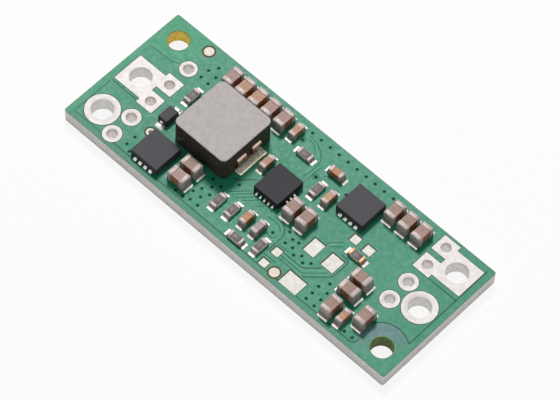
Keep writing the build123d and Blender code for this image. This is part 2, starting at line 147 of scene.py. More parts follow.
class Surface:
    """A node material with one shader, to which patterns in millimetres are added."""

    def __init__(self, name: str) -> None:
        """Start a material.

        Args:
            name: Its name.
        """
        self.material = bpy.data.materials.new(name)
        self.material.use_nodes = True
        self.tree = self.material.node_tree
        self.shader = self.tree.nodes["Principled BSDF"]

    def node(self, kind: str, **settings: object) -> bpy.types.Node:
        """Add a node.

        Args:
            kind: The node's type.
            **settings: Its own properties.

        Returns:
            The node.
        """
        made = self.tree.nodes.new(kind)
        for key, value in settings.items():
            setattr(made, key, value)
        return made

    def link(self, source: Socket, target: Socket) -> None:
        """Join two sockets."""
        self.tree.links.new(source, target)

    def place(self, stretch: Point = (1, 1, 1)) -> Socket:
        """Object coordinates in millimetres.

        Args:
            stretch: Length of the pattern each way, against its plain size.

        Returns:
            The socket with the coordinates.
        """
        source = self.node("ShaderNodeTexCoord")
        mapping = self.node("ShaderNodeMapping")
        mapping.inputs["Scale"].default_value = [1 / (MM * length) for length in stretch]
        self.link(source.outputs["Object"], mapping.inputs["Vector"])
        return mapping.outputs["Vector"]

    def noise(self, grain: float, detail: float = 2, stretch: Point = (1, 1, 1)) -> Socket:
        """A cloudy pattern.

        Args:
            grain: Size of its clouds in millimetres.
            detail: Number of finer layers.
            stretch: Length of the pattern each way.

        Returns:
            The socket with its strength.
        """
        made = self.node("ShaderNodeTexNoise")
        made.inputs["Scale"].default_value = 1 / grain
        made.inputs["Detail"].default_value = detail
        self.link(self.place(stretch), made.inputs["Vector"])
        return made.outputs[0]

    def specks(self, grain: float) -> Socket:
        """A pattern of cells.

        Args:
            grain: Size of a cell in millimetres.

        Returns:
            The socket with the distance from each cell's middle.
        """
        made = self.node("ShaderNodeTexVoronoi")
        made.inputs["Scale"].default_value = 1 / grain
        self.link(self.place(), made.inputs["Vector"])
        return made.outputs["Distance"]

    def graded(self, value: Socket, stops: Sequence[tuple[float, Colour]]) -> Socket:
        """Turn a value into a colour.

        Args:
            value: The socket with the value.
            stops: Each colour with the value where it is pure.

        Returns:
            The socket with the colour.
        """
        ramp = self.node("ShaderNodeValToRGB")
        elements = ramp.color_ramp.elements
        while len(elements) < len(stops):
            elements.new(0.5)
        for element, (position, colour) in zip(elements, stops):
            element.position, element.color = position, colour
        self.link(value, ramp.inputs["Fac"])
        return ramp.outputs["Color"]

    def spread(self, value: Socket, source: tuple[float, float], target: tuple[float, float]) -> Socket:
        """Map one range of a value onto another.

        Args:
            value: The socket with the value.
            source: The range it comes in.
            target: The range it goes out in.

        Returns:
            The socket with the mapped value.
        """
        made = self.node("ShaderNodeMapRange")
        for name, number in zip(("From Min", "From Max", "To Min", "To Max"), (*source, *target)):
            made.inputs[name].default_value = number
        self.link(value, made.inputs["Value"])
        return made.outputs["Result"]

    def tinted(self, factor: Socket, base: Socket, over: Socket | Colour) -> Socket:
        """Lay one colour over another.

        Args:
            factor: How much of the upper colour shows.
            base: The lower colour.
            over: The upper colour, or its socket.

        Returns:
            The socket with the mixed colour.
        """
        mix = self.node("ShaderNodeMix", data_type="RGBA")
        self.link(factor, mix.inputs[MIX_FACTOR])
        self.link(base, mix.inputs[MIX_BASE])
        if isinstance(over, tuple):
            mix.inputs[MIX_OVER].default_value = over
        else:
            self.link(over, mix.inputs[MIX_OVER])
        return mix.outputs[MIX_RESULT]

    def along(self, place: Socket, axis: str, low: float, high: float) -> Socket:
        """Find out how far a place is between two limits along an axis.

        Args:
            place: The socket with the place, in millimetres.
            axis: X, Y or Z.
            low: The limit that counts as 0.
            high: The limit that counts as 1.

        Returns:
            The socket with the share.
        """
        split = self.node("ShaderNodeSeparateXYZ")
        self.link(place, split.inputs["Vector"])
        return self.spread(split.outputs[axis], (low, high), (0.0, 1.0))

    def relief(self, height: Socket, depth: float) -> None:
        """Press a pattern into the surface.

        Args:
            height: The socket with the pattern.
            depth: Its depth in millimetres.
        """
        bump = self.node("ShaderNodeBump")
        bump.inputs["Distance"].default_value = depth * MM
        self.link(height, bump.inputs["Height"])
        if self.shader.inputs["Normal"].is_linked:
            self.link(self.shader.inputs["Normal"].links[0].from_socket, bump.inputs["Normal"])
        self.link(bump.outputs["Normal"], self.shader.inputs["Normal"])


@dataclass(frozen=True)
class Finish:
    """A finish with soft variation of its colour, its gloss and its relief."""

    name: str
    slot: str
    shade: Colour
    light: Colour
    grain: float = 0.4
    gloss: tuple[float, float] = (0.42, 0.55)
    metallic: float = 0.0
    specular: float = 0.5
    relief: float = 0.002
    relief_grain: float = 0.06

    def shaded(self, surface: Surface, value: Socket, dark: float, pale: float) -> Socket:
        """Colour a value with the finish's two tones.

        Args:
            surface: The surface that takes the finish.
            value: The socket with the value.
            dark: The value where the darker tone is pure.
            pale: The value where the lighter tone is pure.

        Returns:
            The socket with the colour.
        """
        return surface.graded(value, ((dark, self.shade), (pale, self.light)))

    def colour(self, surface: Surface) -> Socket:
        """The socket with the finish's colour."""
        return self.shaded(surface, surface.noise(self.grain), 0.32, 0.68)

    def emboss(self, surface: Surface) -> None:
        """Press the finish's relief into the surface."""
        surface.relief(surface.noise(self.relief_grain, 3), self.relief)

    @cache
    def material(self) -> bpy.types.Material:
        """The finish's material, made when it is first asked for.

        Returns:
            The material.
        """
        surface = Surface(self.name)
        inputs = surface.shader.inputs
        surface.link(self.colour(surface), inputs["Base Color"])
        roughness = surface.spread(surface.noise(self.grain / 2), (0.3, 0.7), self.gloss)
        surface.link(roughness, inputs["Roughness"])
        inputs["Metallic"].default_value = self.metallic
        inputs["Specular IOR Level"].default_value = self.specular
        self.emboss(surface)
        return surface.material


@dataclass(frozen=True)
class MaskFinish(Finish):
    """Green mask over copper, with slow drifts of tone and a faint weave under it."""

    drift: float = 9.0
    mottle: float = 0.2
    weave: float = 0.55
    bundle: float = 8.0

    def colour(self, surface: Surface) -> Socket:
        """Make the green, drifting over the board and mottled with finer clouds.

        Args:
            surface: The surface that takes the finish.

        Returns:
            The socket with the colour.
        """
        slow = self.shaded(surface, surface.noise(self.drift, 1), 0.3, 0.7)
        fine = self.shaded(surface, surface.noise(self.grain, 4), 0.3, 0.7)
        share = surface.spread(surface.noise(self.mottle), (0.2, 0.8), (0.3, 0.6))
        return surface.tinted(share, slow, fine)

    def emboss(self, surface: Surface) -> None:
        """Press the glass weave and a fine orange peel into the mask.

        Args:
            surface: The surface that takes the finish.
        """
        for stretch in ((self.weave, self.bundle, self.bundle), (self.bundle, self.weave, self.bundle)):
            surface.relief(surface.noise(1, 1, stretch), self.relief)
        super().emboss(surface)


@dataclass(frozen=True)
class LaminateFinish(Finish):
    """Sawn laminate: layers of glass cloth with specks of fibre ends."""

    layer: float = 0.16
    run: float = 3.0
    mottle: float = 0.3

    def colour(self, surface: Surface) -> Socket:
        """Make the layers, crossed by darker fibre ends.

        Args:
            surface: The surface that takes the finish.

        Returns:
            The socket with the colour.
        """
        layers = self.shaded(surface, surface.noise(1, 2, (self.run, self.run, self.layer)), 0.35, 0.6)
        ends = self.shaded(surface, surface.noise(self.grain, 4), 0.36, 0.52)
        share = surface.spread(surface.noise(self.mottle), (0.35, 0.65), (0.25, 0.8))
        return surface.tinted(share, layers, ends)


@dataclass(frozen=True)
class SpeckledFinish(Finish):
    """Pressed powder: a plain tone with small darker specks."""

    speck: Colour = (0.1, 0.1, 0.1, 1.0)
    speck_grain: float = 0.16

    def colour(self, surface: Surface) -> Socket:
        """Make the powder's tone and its specks.

        Args:
            surface: The surface that takes the finish.

        Returns:
            The socket with the colour.
        """
        base = self.shaded(surface, surface.noise(self.grain, 5), 0.3, 0.7)
        share = surface.spread(surface.specks(self.speck_grain), (0.1, 0.32), (0.5, 0.0))
        return surface.tinted(share, base, self.speck)


@dataclass(frozen=True)
class RisingFinish(Finish):
    """A finish whose tone changes with height, darker below and lighter above."""

    low: float = 2.55
    high: float = 3.25
    mottle: float = 0.4

    def colour(self, surface: Surface) -> Socket:
        """Make the tone by height, broken up by stains.

        Args:
            surface: The surface that takes the finish.

        Returns:
            The socket with the colour.
        """
        height = surface.along(surface.place(), "Z", self.low, self.high)
        rising = self.shaded(surface, height, 0.35, 0.75)
        stains = self.shaded(surface, surface.noise(self.grain, 4), 0.4, 0.7)
        share = surface.spread(surface.noise(self.mottle), (0.3, 0.7), (0.0, 0.45))
        return surface.tinted(share, rising, stains)


@dataclass(frozen=True)
class SlantedFinish(MaskFinish):
    """Green mask whose tone changes towards the board's right front corner."""

    low: float = 0.0
    high: float = 1.0

    def colour(self, surface: Surface) -> Socket:
        """Make the tone by the distance along the slant, in soft clouds.

        Args:
            surface: The surface that takes the finish.

        Returns:
            The socket with the colour.
        """
        turned = surface.node("ShaderNodeMapping")
        turned.inputs["Rotation"].default_value = (0, 0, math.pi / 4)
        surface.link(surface.place(), turned.inputs["Vector"])
        distance = surface.along(turned.outputs["Vector"], "X", self.low, self.high)
        slanted = self.shaded(surface, distance, 0.0, 1.0)
        share = surface.spread(surface.noise(self.grain), (0.3, 0.7), (0.0, 0.2))
        return surface.tinted(share, slanted, super().colour(surface))


MASK = MaskFinish(
    "green_mask", "solder_mask", screen(26, 130, 98), screen(42, 143, 111),
    grain=0.7, gloss=(0.4, 0.5), specular=0.25,
)
MASK_NO_COPPER = MaskFinish(
    "mask_without_copper", "solder_mask", screen(26, 137, 95), screen(44, 151, 109),
    grain=0.7, gloss=(0.4, 0.5), specular=0.25,
)
MASK_GREYED = SlantedFinish(
    "greyed_mask_without_copper", "solder_mask", screen(86, 126, 126), screen(34, 141, 104),
    grain=0.7, gloss=(0.4, 0.5), specular=0.25, low=15.2, high=17.4,
)
MASK_FRONT = MaskFinish(
    "mask_along_front", "solder_mask", screen(28, 122, 94), screen(44, 136, 107),
    grain=0.4, gloss=(0.4, 0.5), specular=0.25,
)
MASK_ON_LAMINATE = Finish(
    "mask_on_laminate", "solder_mask", screen(60, 124, 66), screen(84, 140, 80),
    grain=0.3, gloss=(0.4, 0.5), specular=0.25,
)
MASK_PALE = Finish(
    "mask_over_ridges", "solder_mask", screen(44, 150, 118), screen(58, 162, 130),
    grain=0.3, gloss=(0.4, 0.5), specular=0.25,
)
MASK_DARK = Finish(
    "mask_over_gaps", "solder_mask", screen(2, 76, 56), screen(12, 94, 70),
    grain=0.3, gloss=(0.4, 0.5), specular=0.14,
)
MASK_GAP = Finish(
    "mask_over_traces", "solder_mask", screen(4, 92, 66), screen(14, 108, 80),
    grain=0.3, gloss=(0.4, 0.5), specular=0.14,
)
VIA_HOLE = Finish(
    "via_hole", "solder_mask", screen(0, 58, 40), screen(2, 74, 54),
    grain=0.2, gloss=(0.5, 0.6), specular=0.03,
)
SAWN_EDGE = LaminateFinish(
    "sawn_laminate", "laminate", screen(218, 214, 208), screen(242, 240, 237),
    grain=0.14, gloss=(0.7, 0.85), relief=0.006, specular=0.2,
)
# Bare laminate darkened, so the narrow gaps round lands and pads read as painted shadow of the mask's edge
LAMINATE_PAINTED_SHADE = Finish(
    "bare_laminate_painted_shade", "laminate", screen(44, 54, 34), screen(66, 74, 48),
    grain=0.3, specular=0.15,
)
# Walls of the two screw holes, one laminate: painted light on the left hole's wall, painted shade on the
# right's
WALL_PAINTED_LIGHT = Finish(
    "drilled_wall_painted_light", "hole_wall", screen(240, 218, 98), screen(252, 238, 156),
    grain=0.35, gloss=(0.5, 0.7), relief=0.01, specular=0.2,
)
WALL_PAINTED_SHADE = Finish(
    "drilled_wall_painted_shade", "hole_wall", screen(112, 132, 66), screen(150, 164, 100),
    grain=0.35, gloss=(0.5, 0.7), relief=0.01, specular=0.2,
)
LAND = Finish(
    "tinned_land", "land_tin", screen(220, 214, 210), screen(234, 228, 224),
    grain=0.5, gloss=(0.4, 0.55), metallic=0.05, specular=0.2,
)
BARE_PAD = Finish(
    "bare_pad", "land_tin", screen(211, 209, 200), screen(225, 222, 212),
    grain=0.5, gloss=(0.4, 0.55), metallic=0.05, specular=0.2,
)
BARREL = Finish(
    "plated_barrel", "land_tin", screen(230, 228, 223), screen(246, 244, 241),
    grain=0.3, gloss=(0.35, 0.5), metallic=0.2, specular=0.3, relief=0.004,
)
NARROW_BARREL = Finish(
    "narrow_plated_barrel", "land_tin", screen(222, 216, 212), screen(242, 237, 233),
    grain=0.2, gloss=(0.25, 0.4), metallic=0.55, specular=0.5, relief=0.006,
)
# Solder slopes painted darker than the toe's solder: painted shade and painted reflection of the dark
# surroundings
SOLDER_PAINTED_SHADE = Finish(
    "chip_solder", "solder", screen(122, 104, 98), screen(176, 160, 152),
    grain=0.22, gloss=(0.28, 0.42), metallic=0.5, specular=0.3, relief=0.003, relief_grain=0.2,
)
TOE = Finish(
    "solder_toe", "solder", screen(206, 202, 198), screen(238, 235, 231),
    grain=0.22, gloss=(0.22, 0.34), metallic=0.85, specular=0.4, relief=0.003, relief_grain=0.2,
)
DULL_TOE = Finish(
    "dull_solder_toe", "solder", screen(222, 217, 212), screen(240, 236, 232),
    grain=0.22, gloss=(0.35, 0.5), metallic=0.1, specular=0.3, relief=0.003, relief_grain=0.2,
)
STAINED_SOLDER = SpeckledFinish(
    "stained_solder", "solder", screen(156, 150, 138), screen(222, 216, 200),
    grain=0.22, gloss=(0.28, 0.42), metallic=0.15, relief=0.006, relief_grain=0.16,
    speck=screen(112, 100, 88), speck_grain=0.34,
)
FRESH_SOLDER = Finish(
    "fresh_solder", "solder", screen(236, 232, 196), screen(252, 250, 224),
    grain=0.3, gloss=(0.25, 0.4), metallic=0.8, relief=0.003, relief_grain=0.2,
)
# The block's top: the dark powder painted light grey, a painted sheen of the lamp
POWDER_TOP_PAINTED_SHEEN = SpeckledFinish(
    "pressed_powder_top_painted_sheen", "inductor_grey", screen(176, 169, 167), screen(188, 181, 179),
    grain=0.5, gloss=(0.45, 0.6), specular=0.25, relief=0.003, relief_grain=0.05,
    speck=screen(146, 138, 135), speck_grain=0.2,
)
# The block's sides: the powder painted darker still, as painted shade
POWDER_SIDE_PAINTED_SHADE = SpeckledFinish(
    "pressed_powder_side_painted_shade", "inductor_side", screen(24, 21, 17), screen(58, 50, 41),
    grain=0.5, gloss=(0.5, 0.7), specular=0.3, relief=0.006, relief_grain=0.12, speck=screen(104, 94, 80),
    speck_grain=0.5,
)
# Darker towards the bottom of the strip, lighter over its bend
STRIP = RisingFinish(
    "copper_strip", "strip_copper", screen(104, 80, 66), screen(248, 214, 196),
    grain=0.3, gloss=(0.25, 0.4), metallic=0.75, relief=0.003,
)
WINDING = Finish(
    "copper_winding", "coil_copper", screen(150, 84, 48), screen(190, 112, 68),
    grain=0.4, gloss=(0.3, 0.4), metallic=0.9,
)
EPOXY = SpeckledFinish(
    "moulded_epoxy", "package_black", screen(50, 48, 53), screen(62, 60, 66),
    grain=0.12, gloss=(0.5, 0.62), specular=0.25, relief=0.003, relief_grain=0.05,
    speck=screen(46, 44, 49), speck_grain=0.12,
)
DARK_EPOXY = SpeckledFinish(
    "dark_moulded_epoxy", "package_black", screen(34, 32, 38), screen(44, 42, 49),
    grain=0.12, gloss=(0.5, 0.62), specular=0.2, relief=0.003, relief_grain=0.05,
    speck=screen(34, 33, 37), speck_grain=0.12,
)
LEAD = Finish(
    "plated_lead", "leadframe_tin", screen(196, 192, 188), screen(226, 223, 219),
    grain=0.2, gloss=(0.3, 0.45), metallic=0.45,
)
CHIP_END = Finish(
    "dipped_end", "chip_end_tin", screen(156, 141, 137), screen(186, 173, 169),
    grain=0.25, gloss=(0.36, 0.5), metallic=0.1, specular=0.3, relief=0.005, relief_grain=0.15,
)
RESISTOR_END = Finish(
    "resistor_end", "chip_end_tin", screen(168, 153, 149), screen(200, 186, 181),
    grain=0.25, gloss=(0.36, 0.5), metallic=0.1, specular=0.3, relief=0.004, relief_grain=0.15,
)
WARM_END = Finish(
    "warm_end", "chip_end_tin", screen(170, 112, 84), screen(214, 158, 116),
    grain=0.3, gloss=(0.32, 0.45), metallic=0.35, relief=0.004,
)
RESISTOR_FACE = SpeckledFinish(
    "resistor_glaze", "resistor_black", screen(80, 66, 68), screen(106, 90, 92),
    grain=0.3, gloss=(0.35, 0.5), specular=0.3, speck=screen(62, 50, 52), speck_grain=0.14,
)
RESISTOR_CORE = Finish(
    "resistor_core", "resistor_white", screen(206, 198, 192), screen(226, 220, 214),
    grain=0.3,
)
SIGHTING_DOT = Finish(
    "sighting_dot", "land_tin", screen(211, 200, 184), screen(225, 214, 199),
    grain=0.5, gloss=(0.4, 0.55), metallic=0.05, specular=0.2,
)
TEST_GOLD = Finish(
    "gold_plating", "test_point_gold", screen(78, 60, 42), screen(114, 92, 68),
    grain=0.18, gloss=(0.4, 0.5), metallic=0.1, specular=0.2,
)


def fired(name: str, slot: str, red: float, green: float, blue: float) -> Finish:
    """A fired ceramic in one tone.

    Args:
        name: The finish's name.
        slot: The name of its slot.
        red: Red channel of its middle tone.
        green: Green channel.
        blue: Blue channel.

    Returns:
        The finish, a little darker and a little lighter than the tone in its clouds.
    """
    dark, pale = (screen(red * share, green * share, blue * share) for share in CLOUD_SHARES)
    return Finish(name, slot, dark, pale, grain=0.25, gloss=(0.4, 0.55), specular=0.25, relief=0.003)


def shade_deepened(colour: Colour) -> Colour:
    """A ceramic's colour made redder and deeper for its sides than on its top: painted shade, with a painted
    reflection of its warm neighbours.
    """
    return (*(channel * share for channel, share in zip(colour, SIDE_SHADE_SHARES)), 1.0)


class Ceramic(Enum):
    """The tones of the fired ceramics."""

    ROSE = fired("rose_ceramic", "ceramic_rose", 166, 133, 125)
    TAN = fired("tan_ceramic", "ceramic_tan", 182, 139, 110)
    BROWN = fired("brown_ceramic", "ceramic_brown", 155, 126, 111)
    ORANGE = fired("orange_ceramic", "ceramic_orange", 184, 128, 90)
    LILAC = fired("lilac_ceramic", "ceramic_lilac", 170, 150, 154)
    AMBER = fired("amber_ceramic", "ceramic_orange", 192, 150, 112)

    @property
    def side(self) -> Finish:
        """The finish of its sides, darkened as painted shade.

        Returns:
            The same ceramic, deeper in tone as painted shade, and less glossy.
        """
        top = self.value
        shade, light = shade_deepened(top.shade), shade_deepened(top.light)
        return replace(top, name=top.name + "_side", shade=shade, light=light, specular=0.15)


# Forms


def spot(x: float, y: float, z: float, turn: float = 0.0) -> Matrix:
    """The matrix that turns a form about its upright axis and sets it at a place."""
    return Matrix.Translation((x, y, z)) @ Matrix.Rotation(turn, 4, "Z")


class Form:
    """A mesh in the making, in millimetres."""

    def __init__(self) -> None:
        """Start with nothing."""
        self.bm = bmesh.new()

    @classmethod
    def block(cls, low: Point, high: Point, soft: float = 0.0, segments: int = 2) -> "Form":
        """A box between two corners.

        Args:
            low: Its lowest corner.
            high: Its highest corner.
            soft: How far its edges are rounded.
            segments: Faces across each rounded edge.

        Returns:
            The box.
        """
        form = cls()
        bmesh.ops.create_cube(form.bm, size=1.0)
        corner, size = Vector(low), Vector(high) - Vector(low)
        bmesh.ops.scale(form.bm, vec=size, verts=form.bm.verts)
        bmesh.ops.translate(form.bm, vec=corner + size / 2, verts=form.bm.verts)
        return form.soften(form.bm.edges, soft, segments)

    @classmethod
    def drum(cls, centre: Place, radius: float, low: float, high: float, segments: int = 64) -> "Form":
        """An upright cylinder.

        Args:
            centre: Its middle seen from above.
            radius: Its radius.
            low: Height of its lower face.
            high: Height of its upper face.
            segments: Sides round it.

        Returns:
            The cylinder.
        """
        form = cls()
        bmesh.ops.create_cone(
            form.bm, cap_ends=True, segments=segments, radius1=radius, radius2=radius, depth=high - low
        )
        bmesh.ops.translate(form.bm, vec=(*centre, (low + high) / 2), verts=form.bm.verts)
        return form

    @classmethod
    def bore(cls, centre: Place, radius: float, segments: int = 64) -> "Form":
        """A round tool that reaches right through the board."""
        return cls.drum(centre, radius, *THROUGH, segments)

    @classmethod
    def shaft(cls, low: Place, high: Place) -> "Form":
        """A square tool that reaches right through the board, between two corners seen from above."""
        return cls.block((*low, THROUGH[0]), (*high, THROUGH[1]))

    @classmethod
    def turned(cls, centre: Place, profile: Sequence[tuple[float, float]], segments: int = 64) -> "Form":
        """A ring spun from a closed profile.

        Args:
            centre: The middle of the ring seen from above.
            profile: Radius and height of each corner of the profile.
            segments: Steps of the spin.

        Returns:
            The ring.
        """
        form = cls()
        verts = [form.bm.verts.new((centre[0] + radius, centre[1], height)) for radius, height in profile]
        edges = [form.bm.edges.new(pair) for pair in zip(verts, verts[1:] + verts[:1])]
        bmesh.ops.spin(
            form.bm, geom=verts + edges, cent=(*centre, 0), axis=(0, 0, 1), angle=math.tau, steps=segments,
            use_merge=True,
        )
        return form

    @classmethod
    def ring(
        cls, centre: Place, inner: float, outer: float, low: float, high: float, segments: int = 64
    ) -> "Form":
        """A flat ring with upright sides, between two radii and two heights."""
        return cls.turned(centre, [(inner, low), (inner, high), (outer, high), (outer, low)], segments)

    @classmethod
    def ribbon(cls, path: Sequence[Place], width: float, low: float, high: float) -> "Form":
        """A flat band along a path.

        Args:
            path: The middle of the band, point by point.
            width: Its width.
            low: Height of its lower side.
            high: Height of its upper side.

        Returns:
            The band, as bars that overlap at its bends.
        """
        form = cls()
        for index, (before, after) in enumerate(zip(path, path[1:])):
            step = Vector(after) - Vector(before)
            reach = step.length / 2 + width * BEND_OVERLAP
            top = high + index % 2 * BAR_STEP
            bar = cls.block((-reach, -width / 2, low), (reach, width / 2, top))
            middle = (Vector(before) + Vector(after)) / 2
            form.join(bar, spot(*middle, 0, math.atan2(step.y, step.x)))
        return form

    @classmethod
    def slope(cls, toe: float, width: float, climb: float, cuts: int = 6) -> "Form":
        """A solder slope that falls along +X, hollow across its fall and lower at its sides.

        Args:
            toe: How far it runs out.
            width: Its width.
            climb: Its height where it starts.
            cuts: How finely it is divided.

        Returns:
            The slope, standing on height zero.
        """
        form = cls()
        bmesh.ops.create_cube(form.bm, size=1.0)
        bmesh.ops.subdivide_edges(form.bm, edges=form.bm.edges[:], cuts=cuts, use_grid_fill=True)
        for vert in form.bm.verts:
            along, across, up = vert.co.x + 0.5, vert.co.y * 2, vert.co.z + 0.5
            crest = climb * (1 - along) ** SLOPE_HOLLOW * (1 - SLOPE_SIDES * abs(across) ** 3)
            crest += SLOPE_FOOT * (1 - along**6)
            vert.co = (toe * along, across * width / 2 * (1 - SLOPE_TAPER * along**4), crest * up)
        return form

    def soften(self, edges: Iterable[bmesh.types.BMEdge], offset: float, segments: int) -> "Form":
        """Round some edges.

        Args:
            edges: The edges.
            offset: How far they are rounded; none are at zero.
            segments: Faces across each.

        Returns:
            The form itself.
        """
        if offset > 0:
            bmesh.ops.bevel(
                self.bm, geom=list(edges), affect="EDGES", offset=offset, segments=segments, profile=0.5,
                material=-1, clamp_overlap=True,
            )
        return self

    def upright_edges(self) -> list[bmesh.types.BMEdge]:
        """The edges that stand upright."""
        return [e for e in self.bm.edges if (e.verts[0].co - e.verts[1].co).xy.length < TOUCH]

    def top_edges(self) -> list[bmesh.types.BMEdge]:
        """The edges round the top."""
        top = max(vert.co.z for vert in self.bm.verts)
        return [e for e in self.bm.edges if all(top - vert.co.z < TOUCH for vert in e.verts)]

    def paint(self, number: int, where: Callable[[bmesh.types.BMFace], bool] | None = None) -> "Form":
        """Give faces a finish by its number.

        Args:
            number: Place of the finish in the piece's list.
            where: Which faces take it; all do without it.

        Returns:
            The form itself.
        """
        self.bm.normal_update()
        for face in self.bm.faces:
            if where is None or where(face):
                face.material_index = number
        return self

    def mesh(self) -> bpy.types.Mesh:
        """Copy the form as a mesh.

        Returns:
            The mesh, in millimetres.
        """
        made = bpy.data.meshes.new("form")
        self.bm.to_mesh(made)
        return made

    def join(self, other: "Form", matrix: Matrix | None = None) -> "Form":
        """Add a copy of another form beside this one.

        Args:
            other: The form to copy.
            matrix: Where the copy goes.

        Returns:
            The form itself.
        """
        copy = other.mesh()
        if matrix is not None:
            copy.transform(matrix)
        self.bm.from_mesh(copy)
        bpy.data.meshes.remove(copy)
        return self

    def combined(self, operation: Operation, other: "Form") -> "Form":
        """Cut another form out of this one, unite the two, or keep what they share.

        Args:
            operation: What is done.
            other: The other form, whose faces keep their finish numbers.

        Returns:
            The form itself.
        """
        objects = [bpy.data.objects.new("form", form.mesh()) for form in (self, other)]
        for item in objects:
            bpy.context.scene.collection.objects.link(item)
        modifier = objects[0].modifiers.new("combine", "BOOLEAN")
        modifier.operation, modifier.object = operation.value, objects[1]
        modifier.solver, modifier.use_self = "EXACT", True
        graph = bpy.context.evaluated_depsgraph_get()
        result = bpy.data.meshes.new_from_object(objects[0].evaluated_get(graph))
        self.bm.clear()
        self.bm.from_mesh(result)
        for mesh in [item.data for item in objects] + [result]:
            bpy.data.meshes.remove(mesh)
        return self

    def piece(self, name: str, finishes: Sequence[Finish], nodes: Sequence[str] = ()) -> bpy.types.Object:
        """Turn the form into a piece of the scene.

        Args:
            name: The piece's name.
            finishes: Its finishes, the main one first.
            nodes: The solids it stands for.

        Returns:
            The piece, in metres.
        """
        bmesh.ops.recalc_face_normals(self.bm, faces=self.bm.faces)
        bmesh.ops.scale(self.bm, vec=(MM, MM, MM), verts=self.bm.verts)
        mesh = self.mesh()
        mesh.name = name
        self.bm.free()
        for finish in finishes:
            mesh.materials.append(finish.material())
        mesh.polygons.foreach_set("use_smooth", [True] * len(mesh.polygons))
        mesh.set_sharp_from_angle(angle=SHARP_ANGLE)
        made = bpy.data.objects.new(name, mesh)
        bpy.context.scene.collection.objects.link(made)
        made.modifiers.new("flat_faces", "WEIGHTED_NORMAL").keep_sharp = True
        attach(made, BODY)
        if nodes:
            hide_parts(*nodes)
        LOG.info("%s: %d faces", name, len(mesh.polygons))
        return made


def span(node: str) -> tuple[Vector, Vector]:
    """The lowest and highest corner of a solid's node, in millimetres."""
    low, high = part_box(node)
    return low / MM, high / MM


def dress(node: str, finish: Finish) -> None:
    """Give a solid's node a finish as it is.

    Args:
        node: The node's name.
        finish: Its finish.
    """
    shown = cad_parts[node]
    for held in shown.material_slots:
        held.material = finish.material()
    LOG.info("%s: dressed as %s", node, finish.name)


def chips(kind: str) -> list[str]:
    """The names of the nodes of one kind of chip."""
    return sorted(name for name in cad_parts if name.startswith(kind + "_") and name[-1].isdigit())


def laid(node: str, seat: float) -> tuple[Matrix, float, float, float]:
    """How a chip lies on the board.

    Args:
        node: The chip's node.
        seat: Height of its underside.

    Returns:
        The matrix that lays a form modelled along X there, and the chip's length, width and height.
    """
    low, high = span(node)
    size, middle = high - low, (low + high) / 2
    along_y = size.y > size.x
    turn = math.pi / 2 if along_y else 0.0
    length, width = (size.y, size.x) if along_y else (size.x, size.y)
    return spot(middle.x, middle.y, seat, turn), length, width, size.z


# Board


@dataclass
class Hole:
    """A round hole through the board, with a land on both faces unless it is bare."""

    place: Place
    radius: float
    land: float = 0.0
    plating: float = 0.035
    lip: float = 0.05
    lip_fall: float = 0.014
    rim: float = 0.012
    rim_fall: float = 0.01
    wall_reach: float = 0.03
    wide: float = 0.8

    def corners(self, face: Face, flange: float) -> list[tuple[float, float]]:
        """The corners of the plating at one face of the board.

        Args:
            face: The face.
            flange: Outer radius of its flat rim.

        Returns:
            The radius and height of each corner, from the flange to the bore.
        """
        inner, land, out = self.radius, face.land, face.out
        return [
            (flange, face.laminate), (flange, land - out * self.rim_fall), (flange - self.rim, land),
            (inner + self.lip, land), (inner + self.lip_fall, land - out * self.lip_fall),
            (inner, land - out * self.lip),
        ]

    def eyelet(self, flange: float) -> Form:
        """The plating through the hole, turned out flat on both faces.

        Args:
            flange: Outer radius of its flat rims.

        Returns:
            The plating as one ring, with its wall as finish 1, or as finish 2 where it is narrow.
        """
        wall = self.radius + self.plating
        sleeve = [(wall, Face.LOWER.laminate), (wall, Face.UPPER.laminate)]
        upper, lower = self.corners(Face.UPPER, flange), self.corners(Face.LOWER, flange)
        form = Form.turned(self.place, upper + lower[::-1] + sleeve)
        middle, reach = Vector(self.place), self.radius + self.wall_reach
        number = 1 if self.radius > self.wide else 2
        return form.paint(number, lambda face: (face.calc_center_median().xy - middle).length < reach)


@dataclass(frozen=True)
class Via:
    """A small plated hole, covered by the mask: a low ring of mask round a dark dot."""

    foot: float = 0.2
    shoulder: float = 0.19
    crest: float = 0.13
    throat: float = 0.11
    dot: float = 0.14
    shoulder_lift: float = 0.0015
    crest_lift: float = 0.003
    dot_lift: float = 0.002
    sides: int = 16

    def corners(self, face: Face) -> list[tuple[float, float]]:
        """The corners of its ring of mask at one face of the board.

        Args:
            face: The face.

        Returns:
            The radius and height of each corner.
        """
        shoulder, crest = (face.mask + face.out * lift for lift in (self.shoulder_lift, self.crest_lift))
        return [
            (self.foot, face.laminate), (self.shoulder, shoulder), (self.crest, crest),
            (self.throat, face.laminate),
        ]


@dataclass(frozen=True)
class WideVia:
    """A wider via on the upper face, with a line round it where the copper ends."""

    dot: float = 0.2
    inner: float = 0.31
    outer: float = 0.37
    ring_lift: float = 0.0012
    dot_lift: float = 0.0026
    dot_sides: int = 24
    ring_sides: int = 40


